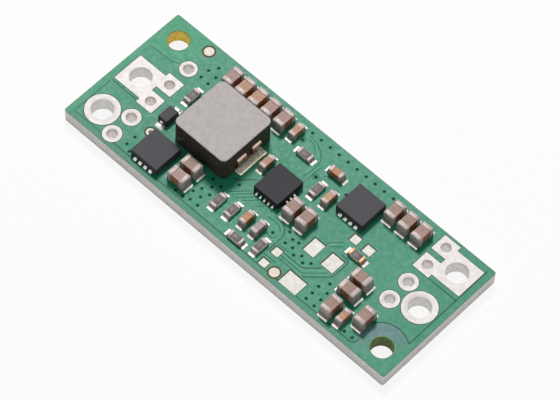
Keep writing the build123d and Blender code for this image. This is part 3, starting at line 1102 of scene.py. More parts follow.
@dataclass
class CircuitBoard:
    """The laminate, its green mask, its lands and plated holes, and the copper lines and vias."""

    length: float = 40.64
    width: float = 15.24
    screw_hole: float = 1.09
    screw_inset: float = 2.16
    terminal_x: float = 17.78
    terminal_pitch: float = 5.08
    terminal_hole: float = 1.1
    ring_land: float = 1.725
    square_land: float = 3.5
    land_gap: float = 0.02
    square_rim: float = 0.06
    pin_offset: float = 2.54
    pin_pitch: float = 2.54
    pin_hole: float = 0.51
    pin_ring: float = 0.95
    pin_square: float = 1.93
    enable_ring: float = 0.88
    window: float = 0.06
    corner: float = 0.22
    clear_radius: float = 2.5
    mask_inset: float = 0.03
    clearance: float = 0.03
    tool_reach: float = 0.5
    flat_share: float = 0.9
    zone_inset: float = 0.05
    zone_sink: float = 0.002
    zone_lift: float = 0.0006
    corner_right: float = -15.9
    corner_front: float = 3.25
    left_border: float = 0.5
    front_border: float = 0.62
    front_end: float = 4.4
    dot: float = 0.5
    dot_window: float = 0.68
    dot_margin: float = 0.14
    halo_lift: float = 0.0012
    halo_gap: float = 0.005
    dot_halo: float = 0.1
    screw_halo: float = 0.12
    pad_wide: float = 0.15
    pad_narrow: float = 0.06
    test_point: Place = (7.493, 3.899)
    test_window: float = 0.6
    test_middle: float = 0.3
    test_sink: float = 0.005
    test_rim: Point = (0.22, 0.3, 0.43)
    test_rise: float = 0.018
    test_fall: float = 0.01

    def at(self, x: float, y: float) -> Place:
        """A place counted from the board's left front corner, in the frame."""
        return x - self.length / 2, y - self.width / 2

    def screw_holes(self) -> list[Hole]:
        """The two bare holes in opposite corners."""
        x, y = self.length / 2 - self.screw_inset, self.width / 2 - self.screw_inset
        return [Hole((-x, y), self.screw_hole), Hole((x, -y), self.screw_hole)]

    def terminals(self) -> list[tuple[Place, int, bool]]:
        """Each terminal's middle, the way to its pin holes, and whether its land is square."""
        x, pitch = self.terminal_x, self.terminal_pitch
        return [((-x, -pitch), 1, False), ((-x, 0), 1, True), ((x, 0), -1, False), ((x, pitch), -1, True)]

    def pins(self, centre: Place, inboard: int) -> list[Place]:
        """The places of a terminal's two pin holes."""
        x = centre[0] + inboard * self.pin_offset
        return [(x, centre[1] + side * self.pin_pitch / 2) for side in (-1, 1)]

    def enable(self) -> Place:
        """The place of the single pin hole."""
        return self.pin_offset - self.terminal_x, 1.5 * self.pin_pitch

    def terminal_holes(self, square: bool) -> list[Hole]:
        """The plated holes of the terminals of one kind.

        Args:
            square: Whether the terminals' own lands are square.

        Returns:
            Each terminal's hole, then its two pin holes.
        """
        land, pin_land = (0.0, 0.0) if square else (self.ring_land, self.pin_ring)
        holes = []
        for centre, inboard, is_square in self.terminals():
            if is_square is square:
                holes.append(Hole(centre, self.terminal_hole, land))
                holes += [Hole(place, self.pin_hole, pin_land) for place in self.pins(centre, inboard)]
        return holes

    def round_holes(self) -> list[Hole]:
        """The plated holes with ring lands."""
        return [Hole(self.enable(), self.pin_hole, self.enable_ring)] + self.terminal_holes(False)

    def square_holes(self) -> list[Hole]:
        """The plated holes in the square lands."""
        return self.terminal_holes(True)

    def square_plates(self, low: float, high: float, grow: float = 0.0) -> list[Form]:
        """The outlines of the square lands with their tabs.

        Args:
            low: Height of their lower side.
            high: Height of their upper side.
            grow: How far they are enlarged all round.

        Returns:
            One form for each square land.
        """
        made = []
        for centre, inboard, square in self.terminals():
            if not square:
                continue
            plate = None
            tabs = [(pin, self.pin_square) for pin in self.pins(centre, inboard)]
            for (x, y), side in [(centre, self.square_land)] + tabs:
                half = side / 2 + grow
                box = Form.block((x - half, y - half, low), (x + half, y + half, high))
                plate = box if plate is None else plate.combined(Operation.UNITE, box)
            made.append(plate)
        return made

    def build(self) -> None:
        """Make the board's pieces."""
        self.panel()
        for face in Face:
            self.mask(face)
            self.square_lands(face)
            self.bare_zones(face)
        self.halos()
        self.eyelets()
        self.vias()
        self.lines()
        self.marks()
        dress("bare_solder_pads", BARE_PAD)

    def slab(self, inset: float, low: float, high: float) -> Form:
        """A sheet of the board's outline with slightly rounded corners.

        Args:
            inset: How far it stays inside the outline.
            low: Height of its lower side.
            high: Height of its upper side.

        Returns:
            The sheet.
        """
        x, y = self.length / 2 - inset, self.width / 2 - inset
        form = Form.block((-x, -y, low), (x, y, high))
        return form.soften(form.upright_edges(), self.corner, 4)

    def panel(self) -> None:
        """The laminate with every hole drilled through it."""
        slab = self.slab(0, Face.LOWER.laminate, Face.UPPER.laminate)
        drills = Form()
        # The left screw hole's wall takes the painted light, the right's the painted shade
        for number, hole in enumerate(self.screw_holes(), 1):
            drills.join(Form.bore(hole.place, hole.radius).paint(number))
        for hole in self.round_holes() + self.square_holes():
            drills.join(Form.bore(hole.place, hole.radius + hole.plating).paint(3))
        slab.combined(Operation.CUT, drills)
        # Flat faces of the laminate take its darkened finish: painted shade where it shows in the mask's
        # windows
        slab.paint(3, lambda face: abs(face.normal.z) > self.flat_share)
        slab.piece("board_laminate", [SAWN_EDGE, WALL_PAINTED_LIGHT, WALL_PAINTED_SHADE, LAMINATE_PAINTED_SHADE], ["board"])

    def mask(self, face: Face) -> None:
        """The green mask of one face, open over its lands.

        Args:
            face: The face of the board.
        """
        sheet = self.slab(self.mask_inset, *face.between(face.mask))
        openings = Form()
        for hole in self.screw_holes():
            openings.join(Form.bore(hole.place, hole.radius + self.clearance))
        for hole in self.round_holes():
            openings.join(Form.bore(hole.place, hole.land + self.window))
        if face is Face.UPPER:
            for place in self.fiducials():
                openings.join(Form.bore(place, self.dot_window, 40))
            openings.join(Form.bore(self.at(*self.test_point), self.test_window, 40))
            for low_x, low_y, high_x, high_y in self.pad_boxes():
                openings.join(Form.shaft((low_x, low_y), (high_x, high_y)))
        sheet.combined(Operation.CUT, openings)
        low, high = face.laminate - self.tool_reach, face.laminate + self.tool_reach
        for plate in self.square_plates(low, high, self.window):
            sheet.combined(Operation.CUT, plate)
        sheet.piece(f"mask_{face.name.lower()}", [MASK])

    def bare_zones(self, face: Face) -> None:
        """The zones of one face without copper under the mask: round the screw holes and along the outline.

        Args:
            face: The face of the board.
        """
        heights = sorted((face.laminate + face.out * self.zone_sink, face.mask + face.out * self.zone_lift))
        first, second = self.screw_holes()
        x, y, left, front = self.length / 2, self.width / 2, self.left_border, self.corner_front
        along_front = Form.shaft((-x + left, -y), (x - self.front_end, -y + self.front_border))
        zones = {
            "bare_corner": (Form.shaft((-x, front), (self.corner_right, y)), first, MASK_NO_COPPER),
            "greyed_corner": (Form.bore(second.place, self.clear_radius, 72), second, MASK_GREYED),
            "left_border": (Form.shaft((-x, -y), (-x + left, front)), first, MASK_NO_COPPER),
            "front_border": (along_front, second, MASK_FRONT),
        }
        opening = Form()
        for hole in self.round_holes():
            opening.join(Form.bore(hole.place, hole.land + self.window + self.clearance))
        for place in self.fiducials():
            opening.join(Form.bore(place, self.dot_window + self.dot_margin))
        for name, (shape, hole, finish) in zones.items():
            sheet = self.slab(self.zone_inset, *heights).combined(Operation.SHARE, shape)
            sheet.combined(Operation.CUT, Form.bore(hole.place, hole.radius + self.clearance))
            sheet.combined(Operation.CUT, opening)
            sheet.piece(f"{name}_{face.name.lower()}", [finish])

    def halos(self) -> None:
        """The narrow rounds of olive where the mask lies on bare laminate, at holes and fiducials."""
        base, top = Face.UPPER.laminate, Face.UPPER.mask + self.halo_lift
        form = Form()
        for hole in self.screw_holes():
            inner, outer = hole.radius + self.clearance, hole.radius + self.screw_halo
            form.join(Form.ring(hole.place, inner, outer, base, top))
        for place in self.fiducials():
            inner, outer = self.dot_window + self.halo_gap, self.dot_window + self.dot_halo
            form.join(Form.ring(place, inner, outer, base, top))
        form.piece("halos", [MASK_ON_LAMINATE])

    def fiducials(self) -> list[Place]:
        """The places of the two fiducials."""
        return [self.at(5.08, 14.223), self.at(26.162, 1.03)]

    def marks(self) -> None:
        """The two fiducials, and the test point: a domed rim round a gold middle."""
        low, high = Face.UPPER.laminate, Face.UPPER.land
        dots = Form()
        for place in self.fiducials():
            dots.join(Form.drum(place, self.dot, low, high, 40))
        centre, (inner, crest, outer) = self.at(*self.test_point), self.test_rim
        rim = [
            (inner, low), (inner, high), (crest, high + self.test_rise), (outer, high - self.test_fall),
            (outer, low),
        ]
        dots.join(Form.drum(centre, self.test_middle, low, high - self.test_sink, 32).paint(1))
        dots.join(Form.turned(centre, rim, 40).paint(2))
        dots.piece("fiducials_and_test_point", [SIGHTING_DOT, TEST_GOLD, LAND], ["fiducial_marks"])

    def pad_boxes(self) -> list[tuple[float, float, float, float]]:
        """The windows round the pads that carry nothing, a little off towards the left and the back, where
        the darkened laminate in the wider gap stands as painted shadow of the mask's edge.

        Returns:
            The left, front, right and back limit of each window, in order.
        """
        wide, narrow, found = self.pad_wide, self.pad_narrow, []
        pads = Form()
        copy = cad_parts["bare_solder_pads"].data.copy()
        copy.transform(Matrix.Scale(1 / MM, 4))
        pads.bm.from_mesh(copy)
        bpy.data.meshes.remove(copy)
        bmesh.ops.remove_doubles(pads.bm, verts=pads.bm.verts, dist=MERGE)
        left = set(pads.bm.verts)
        while left:
            island, fresh = set(), {next(iter(left))}
            while fresh:
                island |= fresh
                fresh = {edge.other_vert(vert) for vert in fresh for edge in vert.link_edges} - island
            left -= island
            xs, ys = [vert.co.x for vert in island], [vert.co.y for vert in island]
            found.append((min(xs) - wide, min(ys) - narrow, max(xs) + narrow, max(ys) + wide))
        pads.bm.free()
        return sorted(found)

    def square_lands(self, face: Face) -> None:
        """The square lands of one face, open round their holes.

        Args:
            face: The face of the board.
        """
        lands = Form()
        for plate in self.square_plates(*face.between(face.land)):
            lands.join(plate)
        drills = Form()
        for hole in self.square_holes():
            drills.join(Form.bore(hole.place, hole.radius + self.land_gap))
        lands.combined(Operation.CUT, drills)
        lands.piece(f"square_lands_{face.name.lower()}", [LAND])

    def eyelets(self) -> None:
        """The plated holes with their ring lands, and the rims of those in square lands."""
        rings, rims = Form(), Form()
        for hole in self.round_holes():
            rings.join(hole.eyelet(hole.land))
        for hole in self.square_holes():
            rims.join(hole.eyelet(hole.radius + self.square_rim))
        rings.piece("ring_lands", [LAND, BARREL, NARROW_BARREL])
        rims.piece("square_land_barrels", [LAND, BARREL, NARROW_BARREL])

    def via_places(self) -> list[Place]:
        """Where the small plated holes are.

        Returns:
            The row along the back edge, then the scattered ones.
        """
        first, back, pitch, count = 18.3, 14.45, 1.14, 10
        row = [(first + pitch * index, back) for index in range(count)]
        scattered = [
            (7.05, 13.5), (6.55, 12.65), (7.6, 12.55), (6.55, 11.62), (7.55, 11.55), (6.85, 2.5),
            (6.85, 1.45), (7.6, 1.02), (8.15, 1.0), (18.15, 13.27), (21.85, 11.15), (25.15, 11.7),
            (17.4, 5.55), (15.25, 4.3), (16.3, 4.25), (15.75, 3.6), (15.2, 2.85), (16.2, 2.85),
            (14.8, 2.1), (15.75, 2.1), (15.25, 1.25), (16.2, 1.27), (13.6, 1.0), (14.55, 1.0),
            (23.15, 4.0), (24.2, 5.15), (24.95, 4.75), (25.6, 4.87), (24.7, 4.0), (25.55, 4.1),
            (26.75, 4.05), (27.9, 4.07), (26.15, 3.6), (27.3, 3.58), (30.6, 3.7), (30.05, 2.8),
            (31.1, 2.8), (30.1, 1.9), (31.15, 1.9), (30.1, 1.08), (31.15, 1.02), (34.9, 1.02),
            (35.85, 1.02), (33.8, 12.0),
        ]
        return [self.at(*place) for place in row + scattered]

    def vias(self) -> None:
        """The small plated holes, covered by the mask, on both faces."""
        rings, dots = Form(), Form()
        small, wide = Via(), WideVia()
        for place in self.via_places():
            for face in Face:
                rings.join(Form.turned(place, small.corners(face), small.sides))
                low, high = face.between(face.mask + face.out * small.dot_lift)
                dots.join(Form.drum(place, small.dot, low, high, small.sides))
        base, mask = Face.UPPER.laminate, Face.UPPER.mask
        for place in (self.at(18.15, 13.25), self.at(21.85, 11.15)):
            top = mask + wide.ring_lift
            rings.join(Form.ring(place, wide.inner, wide.outer, base, top, wide.ring_sides))
            dots.join(Form.drum(place, wide.dot, base, mask + wide.dot_lift, wide.dot_sides))
        rings.piece("via_rings", [MASK_GAP])
        dots.piece("via_dots", [VIA_HOLE])

    def gap_paths(self) -> list[list[Place]]:
        """The wider gaps between copper areas, seen through the mask.

        Returns:
            The points of each gap, counted from the board's left front corner.
        """
        return [
            [(5.9, 0.66), (29.3, 0.62), (36.0, 0.62), (36.4, 0.9), (36.4, 1.35)],
            [(0.8, 5.55), (3.95, 5.55)],
            [(36.1, 3.4), (36.4, 3.76), (36.7, 4.1), (37.05, 4.32), (37.4, 4.5), (37.85, 4.62), (38.3, 4.68),
             (38.75, 4.62), (39.2, 4.5), (39.6, 4.3), (39.95, 4.15), (39.95, 14.75)],
            [(36.5, 10.45), (39.95, 10.45)],
            [(18.2, 7.15), (17.0, 5.9), (16.6, 5.75)],
            [(22.1, 5.35), (23.15, 5.35), (23.6, 5.1), (23.95, 4.7), (24.1, 4.2), (24.1, 2.3)],
            [(25.0, 3.15), (27.5, 3.15), (27.85, 3.35), (28.9, 4.35)],
            [(28.3, 2.5), (30.1, 4.2), (30.3, 4.6), (30.3, 6.4), (30.05, 6.7), (29.3, 6.7)],
        ]

    def trace_paths(self) -> list[list[Place]]:
        """The gaps beside the narrow traces, seen through the mask.

        Returns:
            The points of each gap, counted from the board's left front corner.
        """
        return [
            [(18.5, 5.75), (17.25, 4.35)],
            [(18.8, 5.6), (17.6, 4.35)],
            [(19.15, 5.4), (18.1, 4.35)],
            [(19.75, 5.6), (19.5, 5.25), (18.75, 4.55)],
            [(20.65, 5.5), (20.15, 5.0)],
            [(21.35, 5.7), (21.6, 5.45)],
            [(21.6, 4.98), (22.95, 4.98), (23.3, 4.8), (23.6, 4.5)],
            [(22.75, 3.75), (22.95, 3.55), (23.3, 3.5), (23.6, 3.7), (23.65, 4.1)],
            [(24.3, 3.5), (25.6, 3.5)],
            [(24.9, 2.75), (27.95, 2.75), (28.3, 3.0), (29.6, 4.3)],
            [(24.9, 2.42), (27.2, 2.42)],
            [(24.1, 1.86), (25.5, 1.86)],
            [(28.5, 7.8), (27.6, 6.9), (27.5, 6.5)],
            [(28.75, 7.4), (27.9, 6.6)],
            [(18.5, 14.1), (19.6, 13.8), (20.3, 13.45), (20.9, 12.9), (21.1, 12.3), (21.1, 11.0),
             (20.9, 10.5)],
            [(18.65, 13.77), (19.35, 13.6), (19.95, 13.1)],
            [(22.3, 11.75), (22.6, 12.0), (23.0, 12.15)],
            [(21.5, 12.2), (21.4, 11.4), (21.5, 10.4)],
            [(0.8, 10.88), (2.8, 10.9), (3.5, 11.0), (4.0, 11.25)],
            [(21.2, 2.4), (22.6, 2.4)],
            [(0.75, 5.3), (0.75, 0.66), (5.9, 0.66)],
        ]

    def ridge_paths(self) -> list[list[Place]]:
        """The narrow traces themselves, where the mask looks a little paler.

        Returns:
            The points of each trace, counted from the board's left front corner.
        """
        return [
            [(18.65, 5.65), (17.42, 4.35)],
            [(18.98, 5.5), (17.85, 4.35)],
            [(19.45, 5.6), (19.3, 5.3), (18.42, 4.45)],
            [(21.6, 5.16), (23.02, 5.16), (23.45, 4.95), (23.78, 4.6)],
            [(24.95, 2.95), (27.75, 2.95), (28.1, 3.18), (29.25, 4.35)],
            [(28.0, 2.6), (29.95, 4.4)],
            [(28.62, 7.6), (27.75, 6.75)],
            [(18.55, 13.93), (19.5, 13.7), (20.15, 13.25), (20.5, 12.9)],
            [(21.3, 12.25), (21.25, 11.2), (21.15, 10.5)],
        ]

    def lead_shadow_paths(self) -> list[list[Place]]:
        """Dark bands of mask along the controller's front and right rows of leads: partly mask without copper
        between pads, mostly painted shadow of the package.
        """
        return [[(18.95, 5.93), (21.45, 5.93)], [(21.95, 6.95), (21.95, 8.7)]]

    def lines(self) -> None:
        """The gaps and traces that show through the upper mask."""
        low, high = Face.UPPER.laminate, Face.UPPER.mask
        kinds = (
            ("copper_gaps", self.gap_paths(), 0.12, 0.0017, MASK_DARK),
            ("trace_gaps", self.trace_paths(), 0.1, 0.0012, MASK_GAP),
            ("trace_ridges", self.ridge_paths(), 0.1, 0.0021, MASK_PALE),
            # The wide dark bands by the controller's leads are painted shadow
            ("painted_lead_shadows", self.lead_shadow_paths(), 0.36, 0.0008, MASK_DARK),
        )
        for name, paths, width, rise, finish in kinds:
            form = Form()
            for path in paths:
                form.join(Form.ribbon([self.at(*point) for point in path], width, low, high + rise))
            form.piece(name, [finish])


# Components


@dataclass
class PowerInductor:
    """The pressed powder block, with its copper strips and its winding."""

    corner: float = 0.62
    top_edge: float = 0.11
    top_share: float = 0.4
    toe: float = 0.6
    foot: float = 1.7
    land_width: float = 3.6
    climb: float = 0.5
    gauge: float = 0.25
    foot_gauge: float = 0.2
    bend_share: float = 0.95
    spread: float = 0.15
    gap: float = 0.85
    prong: float = 0.7
    tool_reach: Place = (1.0, 9.0)
    droop: float = 0.35
    depth: float = 0.5
    overlap: float = 0.02
    sink: float = 0.01
    rim_height: float = 0.14
    rim_corner: float = 0.2
    slope_shares: Place = (0.8, 0.84)
    slope_lift: Point = (-0.04, -0.2, 0.1)
    turns: tuple[tuple[str, float], ...] = (
        ("inductor_input_strip", math.pi), ("inductor_output_strip", 0.0),
    )

    def build(self) -> None:
        """Make the inductor's pieces."""
        self.block()
        self.strips()
        dress("inductor_coil", WINDING)

    def block(self) -> None:
        """The pressed block, painted light grey on top as painted sheen and dark at its sides as painted
        shade.
        """
        low, high = span("inductor_body")
        body = Form.block(low, high)
        body.soften(body.upright_edges(), self.corner, 10)
        body.soften(body.top_edges(), self.top_edge, 3)
        # Faces that do not face up take the painted shade of the sides; the top keeps the painted sheen
        body.paint(1, lambda face: face.normal.z < self.top_share)
        body.piece("inductor_block", [POWDER_TOP_PAINTED_SHEEN, POWDER_SIDE_PAINTED_SHADE], ["inductor_body"])

    def strips(self) -> None:
        """The two terminal strips: a round bend above, split into two prongs, and a foot under the block."""
        gauge, slit, (past, above) = self.gauge, self.gap / 2, self.tool_reach
        for node, turn in self.turns:
            low, high = span(node)
            size, middle = high - low, (low + high) / 2
            half, reach, rise = size.y / 2 + self.spread, size.x / 2, size.z - self.droop
            inner = reach - gauge
            plate = Form.block((inner, -half, 0), (reach, half, rise))
            outer = [e for e in plate.bm.edges if all(v.co.x > reach - TOUCH for v in e.verts)]
            bend = [e for e in outer if all(v.co.z > rise - TOUCH for v in e.verts)]
            plate.soften(bend, gauge * self.bend_share, 6)
            slot = Form.block((reach - 2 * gauge, -slit, rise - self.prong), (reach + past, slit, above))
            plate.combined(Operation.CUT, slot)
            plate.join(Form.block((-reach, -half, 0), (reach - gauge / 2, half, self.foot_gauge)))
            rear, front = inner - self.depth, inner + self.overlap
            plate.join(Form.block((rear, -half, rise - gauge), (front, half, rise - self.sink)))
            form = Form().join(plate, spot(middle.x, middle.y, low.z, turn))
            form.piece(node + "_bent", [STRIP], [node])

    def joints(self) -> Form:
        """The solder at the two strips.

        Returns:
            The solder, with its fresh rim as finish 0 and its stained slope as finish 1.
        """
        made, half, (toe_share, width_share) = Form(), self.land_width / 2, self.slope_shares
        rim = Form.block((-self.foot, -half, -LAND_DEPTH), (self.toe, half, self.rim_height))
        rim.soften(rim.upright_edges(), self.rim_corner, 4)
        rim.soften(rim.top_edges(), self.rim_height, 5)
        slope = Form.slope(self.toe * toe_share, self.land_width * width_share, self.climb, 12).paint(1)
        lift = Matrix.Translation(self.slope_lift)
        for node, turn in self.turns:
            low, high = span(node)
            middle, outer = (low + high) / 2, (low.x if turn else high.x)
            place = spot(outer, middle.y, Face.UPPER.land, turn)
            made.join(rim, place).join(slope, place @ lift)
        return made


@dataclass
class FlatPackage:
    """A moulded package without legs, over its plated leadframe."""

    name: str
    finish: Finish = EPOXY
    own_leads: bool = False
    edge: float = 0.05

    def build(self) -> None:
        """Make the package's pieces."""
        node = f"{self.name}_package"
        low, high = span(node)
        body = Form.block(low, high)
        body.soften(body.upright_edges(), self.edge, 2)
        body.soften(body.top_edges(), self.edge, 2)
        body.piece(f"{self.name}_moulding", [self.finish], [node])
        if not self.own_leads:
            dress(f"{self.name}_leadframe", LEAD)


@dataclass
class LeadRow:
    """A row of leads along one side of a package, with its joints."""

    package: str
    turn: float
    count: int
    pitch: float
    width: float
    toe: float = 0.24
    inner: float = 0.4
    climb: float = 0.2
    lead_height: float = 0.2
    lead_edge: float = 0.012
    proud: float = 0.03
    gap: float = 0.02

    def places(self) -> list[Matrix]:
        """The place of each lead.

        Returns:
            One matrix for each, at the package's side with X pointing outward.
        """
        low, high = span(f"{self.package}_package")
        size, middle = high - low, (low + high) / 2
        half = (size.x if abs(math.cos(self.turn)) > 0.5 else size.y) / 2
        row = spot(middle.x, middle.y, Face.UPPER.land, self.turn)
        steps = [(index - (self.count - 1) / 2) * self.pitch for index in range(self.count)]
        return [row @ Matrix.Translation((half, step, 0)) for step in steps]

    def leads(self) -> Form:
        """The leads themselves, a little proud of the package.

        Returns:
            The leads as one form.
        """
        made, side = Form(), self.width / 2
        lead = Form.block((-self.inner, -side, 0), (self.proud, side, self.lead_height), self.lead_edge)
        for place in self.places():
            made.join(lead, place)
        return made

    def joints(self) -> Form:
        """The lands and solder of the row.

        Returns:
            The lands and solder as one form.
        """
        made, side = Form(), self.width / 2
        land = Form.block((-self.inner, -side, -LAND_DEPTH), (self.toe, side, 0.0))
        slope = Form.slope(self.toe - self.gap, self.width, self.climb, 4)
        for place in self.places():
            made.join(land, place).join(slope, place @ Matrix.Translation((self.gap, 0, 0)))
        return made


@dataclass
class SmallDiode:
    """The small moulded diode with a foot at each end."""

    draft: float = 0.045
    edge: float = 0.04
    toe: float = 0.18
    foot: float = 0.45
    land_width: float = 0.85
    land_rise: float = 0.02
    land_edge: float = 0.012
    slope_share: float = 0.7
    climb: float = 0.12

    def build(self) -> None:
        """Make the diode's pieces."""
        low, high = span("diode_body")
        size, middle = high - low, (low + high) / 2
        body = Form.block(low, high)
        upper = [vert for vert in body.bm.verts if vert.co.z > middle.z]
        shrink = (1 - 2 * self.draft / size.x, 1 - 2 * self.draft / size.y, 1)
        bmesh.ops.scale(body.bm, vec=shrink, verts=upper, space=Matrix.Translation(-middle))
        body.soften(body.bm.edges, self.edge, 2)
        body.piece("diode_moulding", [EPOXY], ["diode_body"])
        dress("diode_leads", LEAD)

    def joints(self) -> Form:
        """The solder at the two feet.

        Returns:
            The solder, with its slopes as finish 0 and its lands as finish 1.
        """
        low, high = span("diode_leads")
        made, middle = Form(), (low + high) / 2
        half, reach = self.land_width / 2, (high.y - low.y) / 2
        near, far = (reach - self.foot, -half, -LAND_DEPTH), (reach + self.toe, half, self.land_rise)
        land = Form.block(near, far, self.land_edge).paint(1)
        slope = Form.slope(self.toe, self.land_width * self.slope_share, self.climb, 4)
        for turn in (math.pi / 2, -math.pi / 2):
            place = spot(middle.x, middle.y, Face.UPPER.land, turn)
            made.join(land, place).join(slope, place @ Matrix.Translation((reach, 0, 0)))
        return made


@dataclass
class ChipKind:
    """The shared sizes of one kind of chip."""

    prefix: str
    end: float
    skin: float
    soft: float
    toe: float
    rim: float = 0.17
    side_gap: float = 0.03
    land_rise: float = 0.004
    land_corner: float = 0.05
    slope_width: float = 0.92
    slope_climb: float = 0.5
    overlap: float = 0.005
    bead_gap: float = 0.04
    bead_start: float = 0.006
    bead_height: float = 0.055
    bead_fall: float = 0.045
    bead_corner: float = 0.04

    def nodes(self) -> list[str]:
        """The nodes of this kind."""
        return chips(self.prefix)

    def joint(self, length: float, width: float, height: float) -> Form:
        """The lands and solder at both ends of a chip.

        Args:
            length: The chip's length.
            width: The chip's width.
            height: The chip's height.

        Returns:
            The form, along X, with the chip's underside at zero.
        """
        made, reach, half = Form(), length / 2, width / 2 - self.side_gap
        land = Form.block((reach - self.end, -half, -LAND_DEPTH), (reach + self.toe, half, self.land_rise))
        land.soften(land.upright_edges(), self.land_corner, 2)
        slope = Form.slope(self.toe - self.rim, width * self.slope_width, self.slope_climb * height, 5)
        bead = self.bead(width).paint(1)
        for turn in (0.0, math.pi):
            place = Matrix.Rotation(turn, 4, "Z")
            made.join(land, place).join(slope, place @ Matrix.Translation((reach - self.overlap, 0, 0)))
            made.join(bead, place @ Matrix.Translation((reach + self.toe, 0, 0)))
        return made

    def bead(self, width: float) -> Form:
        """The bright rim of the solder, sloping outward to its outer edge at x zero.

        Args:
            width: The chip's width.

        Returns:
            The rim.
        """
        half = width / 2 - self.bead_gap
        form = Form.block((-self.rim, -half, 0), (-self.bead_start, half, self.bead_height))
        upper = [vert for vert in form.bm.verts if vert.co.z > self.bead_height / 2]
        outer = [vert for vert in upper if vert.co.x > -self.rim / 2]
        bmesh.ops.translate(form.bm, vec=(0, 0, -self.bead_fall), verts=outer)
        return form.soften(form.upright_edges(), self.bead_corner, 2)

    def joints(self) -> Form:
        """The solder of every chip of this kind.

        Returns:
            The solder, with its slopes, darkened as painted shade, as finish 0 and its rims as finish 1.
        """
        made = Form()
        for node in self.nodes():
            matrix, length, width, height = laid(node, Face.UPPER.land)
            made.join(self.joint(length, width, height), matrix)
        return made


@dataclass
class CeramicCapacitors(ChipKind):
    """Multilayer capacitors: a fired block between two dipped ends."""

    tones: tuple[Ceramic, ...] = ()
    edge_share: float = 0.8
    side_share: float = 0.5

    def build(self) -> None:
        """Make each capacitor."""
        for node, tone in zip(self.nodes(), self.tones):
            matrix, length, width, height = laid(node, Face.UPPER.land)
            form = Form().join(self.form(length, width, height), matrix)
            # The third finish darkens the ceramic's sides as painted shade
            form.piece(node + "_chip", [tone.value, CHIP_END, tone.side], [node])

    def form(self, length: float, width: float, height: float) -> Form:
        """A capacitor along X with its underside at zero.

        Args:
            length: Its length.
            width: Its width.
            height: Its height.

        Returns:
            The form, with its ceramic as finish 0, its ends as finish 1 and its ceramic sides, in painted
            shade, as finish 2.
        """
        reach, half = length / 2, width / 2
        low = (-reach + self.skin, -half + self.skin, self.skin)
        high = (reach - self.skin, half - self.skin, height - self.skin)
        core = Form.block(low, high, self.skin * self.edge_share)
        # Upright faces of the ceramic take the darker copy: painted shade
        made = Form().join(core.paint(2, lambda face: abs(face.normal.z) < self.side_share))
        cap = Form.block((reach - self.end, -half, 0), (reach, half, height))
        rounded = [e for e in cap.bm.edges if max(v.co.x for v in e.verts) > reach - self.end / 2]
        cap.soften(rounded, self.soft, 4).paint(1)
        for turn in (0.0, math.pi):
            made.join(cap, Matrix.Rotation(turn, 4, "Z"))
        return made


@dataclass
class ChipResistors(ChipKind):
    """Chip resistors: a white core, a dark glaze on top and metal round each end."""

    glaze: float = 0.02
    glaze_overlap: float = 0.02
    glaze_gap: float = 0.03
    glaze_sink: float = 0.01
    glaze_edge: float = 0.012
    core_gap: Place = (0.02, 0.01)
    warm: str = "resistor_8"

    def build(self) -> None:
        """Make each resistor."""
        for node in self.nodes():
            matrix, length, width, height = laid(node, Face.UPPER.land)
            form = Form().join(self.form(length, width, height), matrix)
            end = WARM_END if node == self.warm else RESISTOR_END
            form.piece(node + "_chip", [RESISTOR_FACE, end, RESISTOR_CORE], [node])

    def form(self, length: float, width: float, height: float) -> Form:
        """A resistor along X with its underside at zero.

        Args:
            length: Its length.
            width: Its width.
            height: Its height.

        Returns:
            The form, with its glaze as finish 0, its ends as finish 1 and its core as finish 2.
        """
        reach, half, inner = length / 2, width / 2, length / 2 - self.end
        top, (end_gap, side_gap) = height - self.skin, self.core_gap
        far, side = reach - end_gap, half - side_gap
        core = Form.block((-far, -side, self.skin), (far, side, top)).paint(2)
        far, side = inner + self.glaze_overlap, half - self.glaze_gap
        glaze = Form.block((-far, -side, top - self.glaze_sink), (far, side, top + self.glaze))
        glaze.soften(glaze.top_edges(), self.glaze_edge, 2)
        made = Form().join(core).join(glaze)
        cap = Form.block((inner, -half, 0), (reach, half, height), self.soft, 2).paint(1)
        for turn in (0.0, math.pi):
            made.join(cap, Matrix.Rotation(turn, 4, "Z"))
        return made


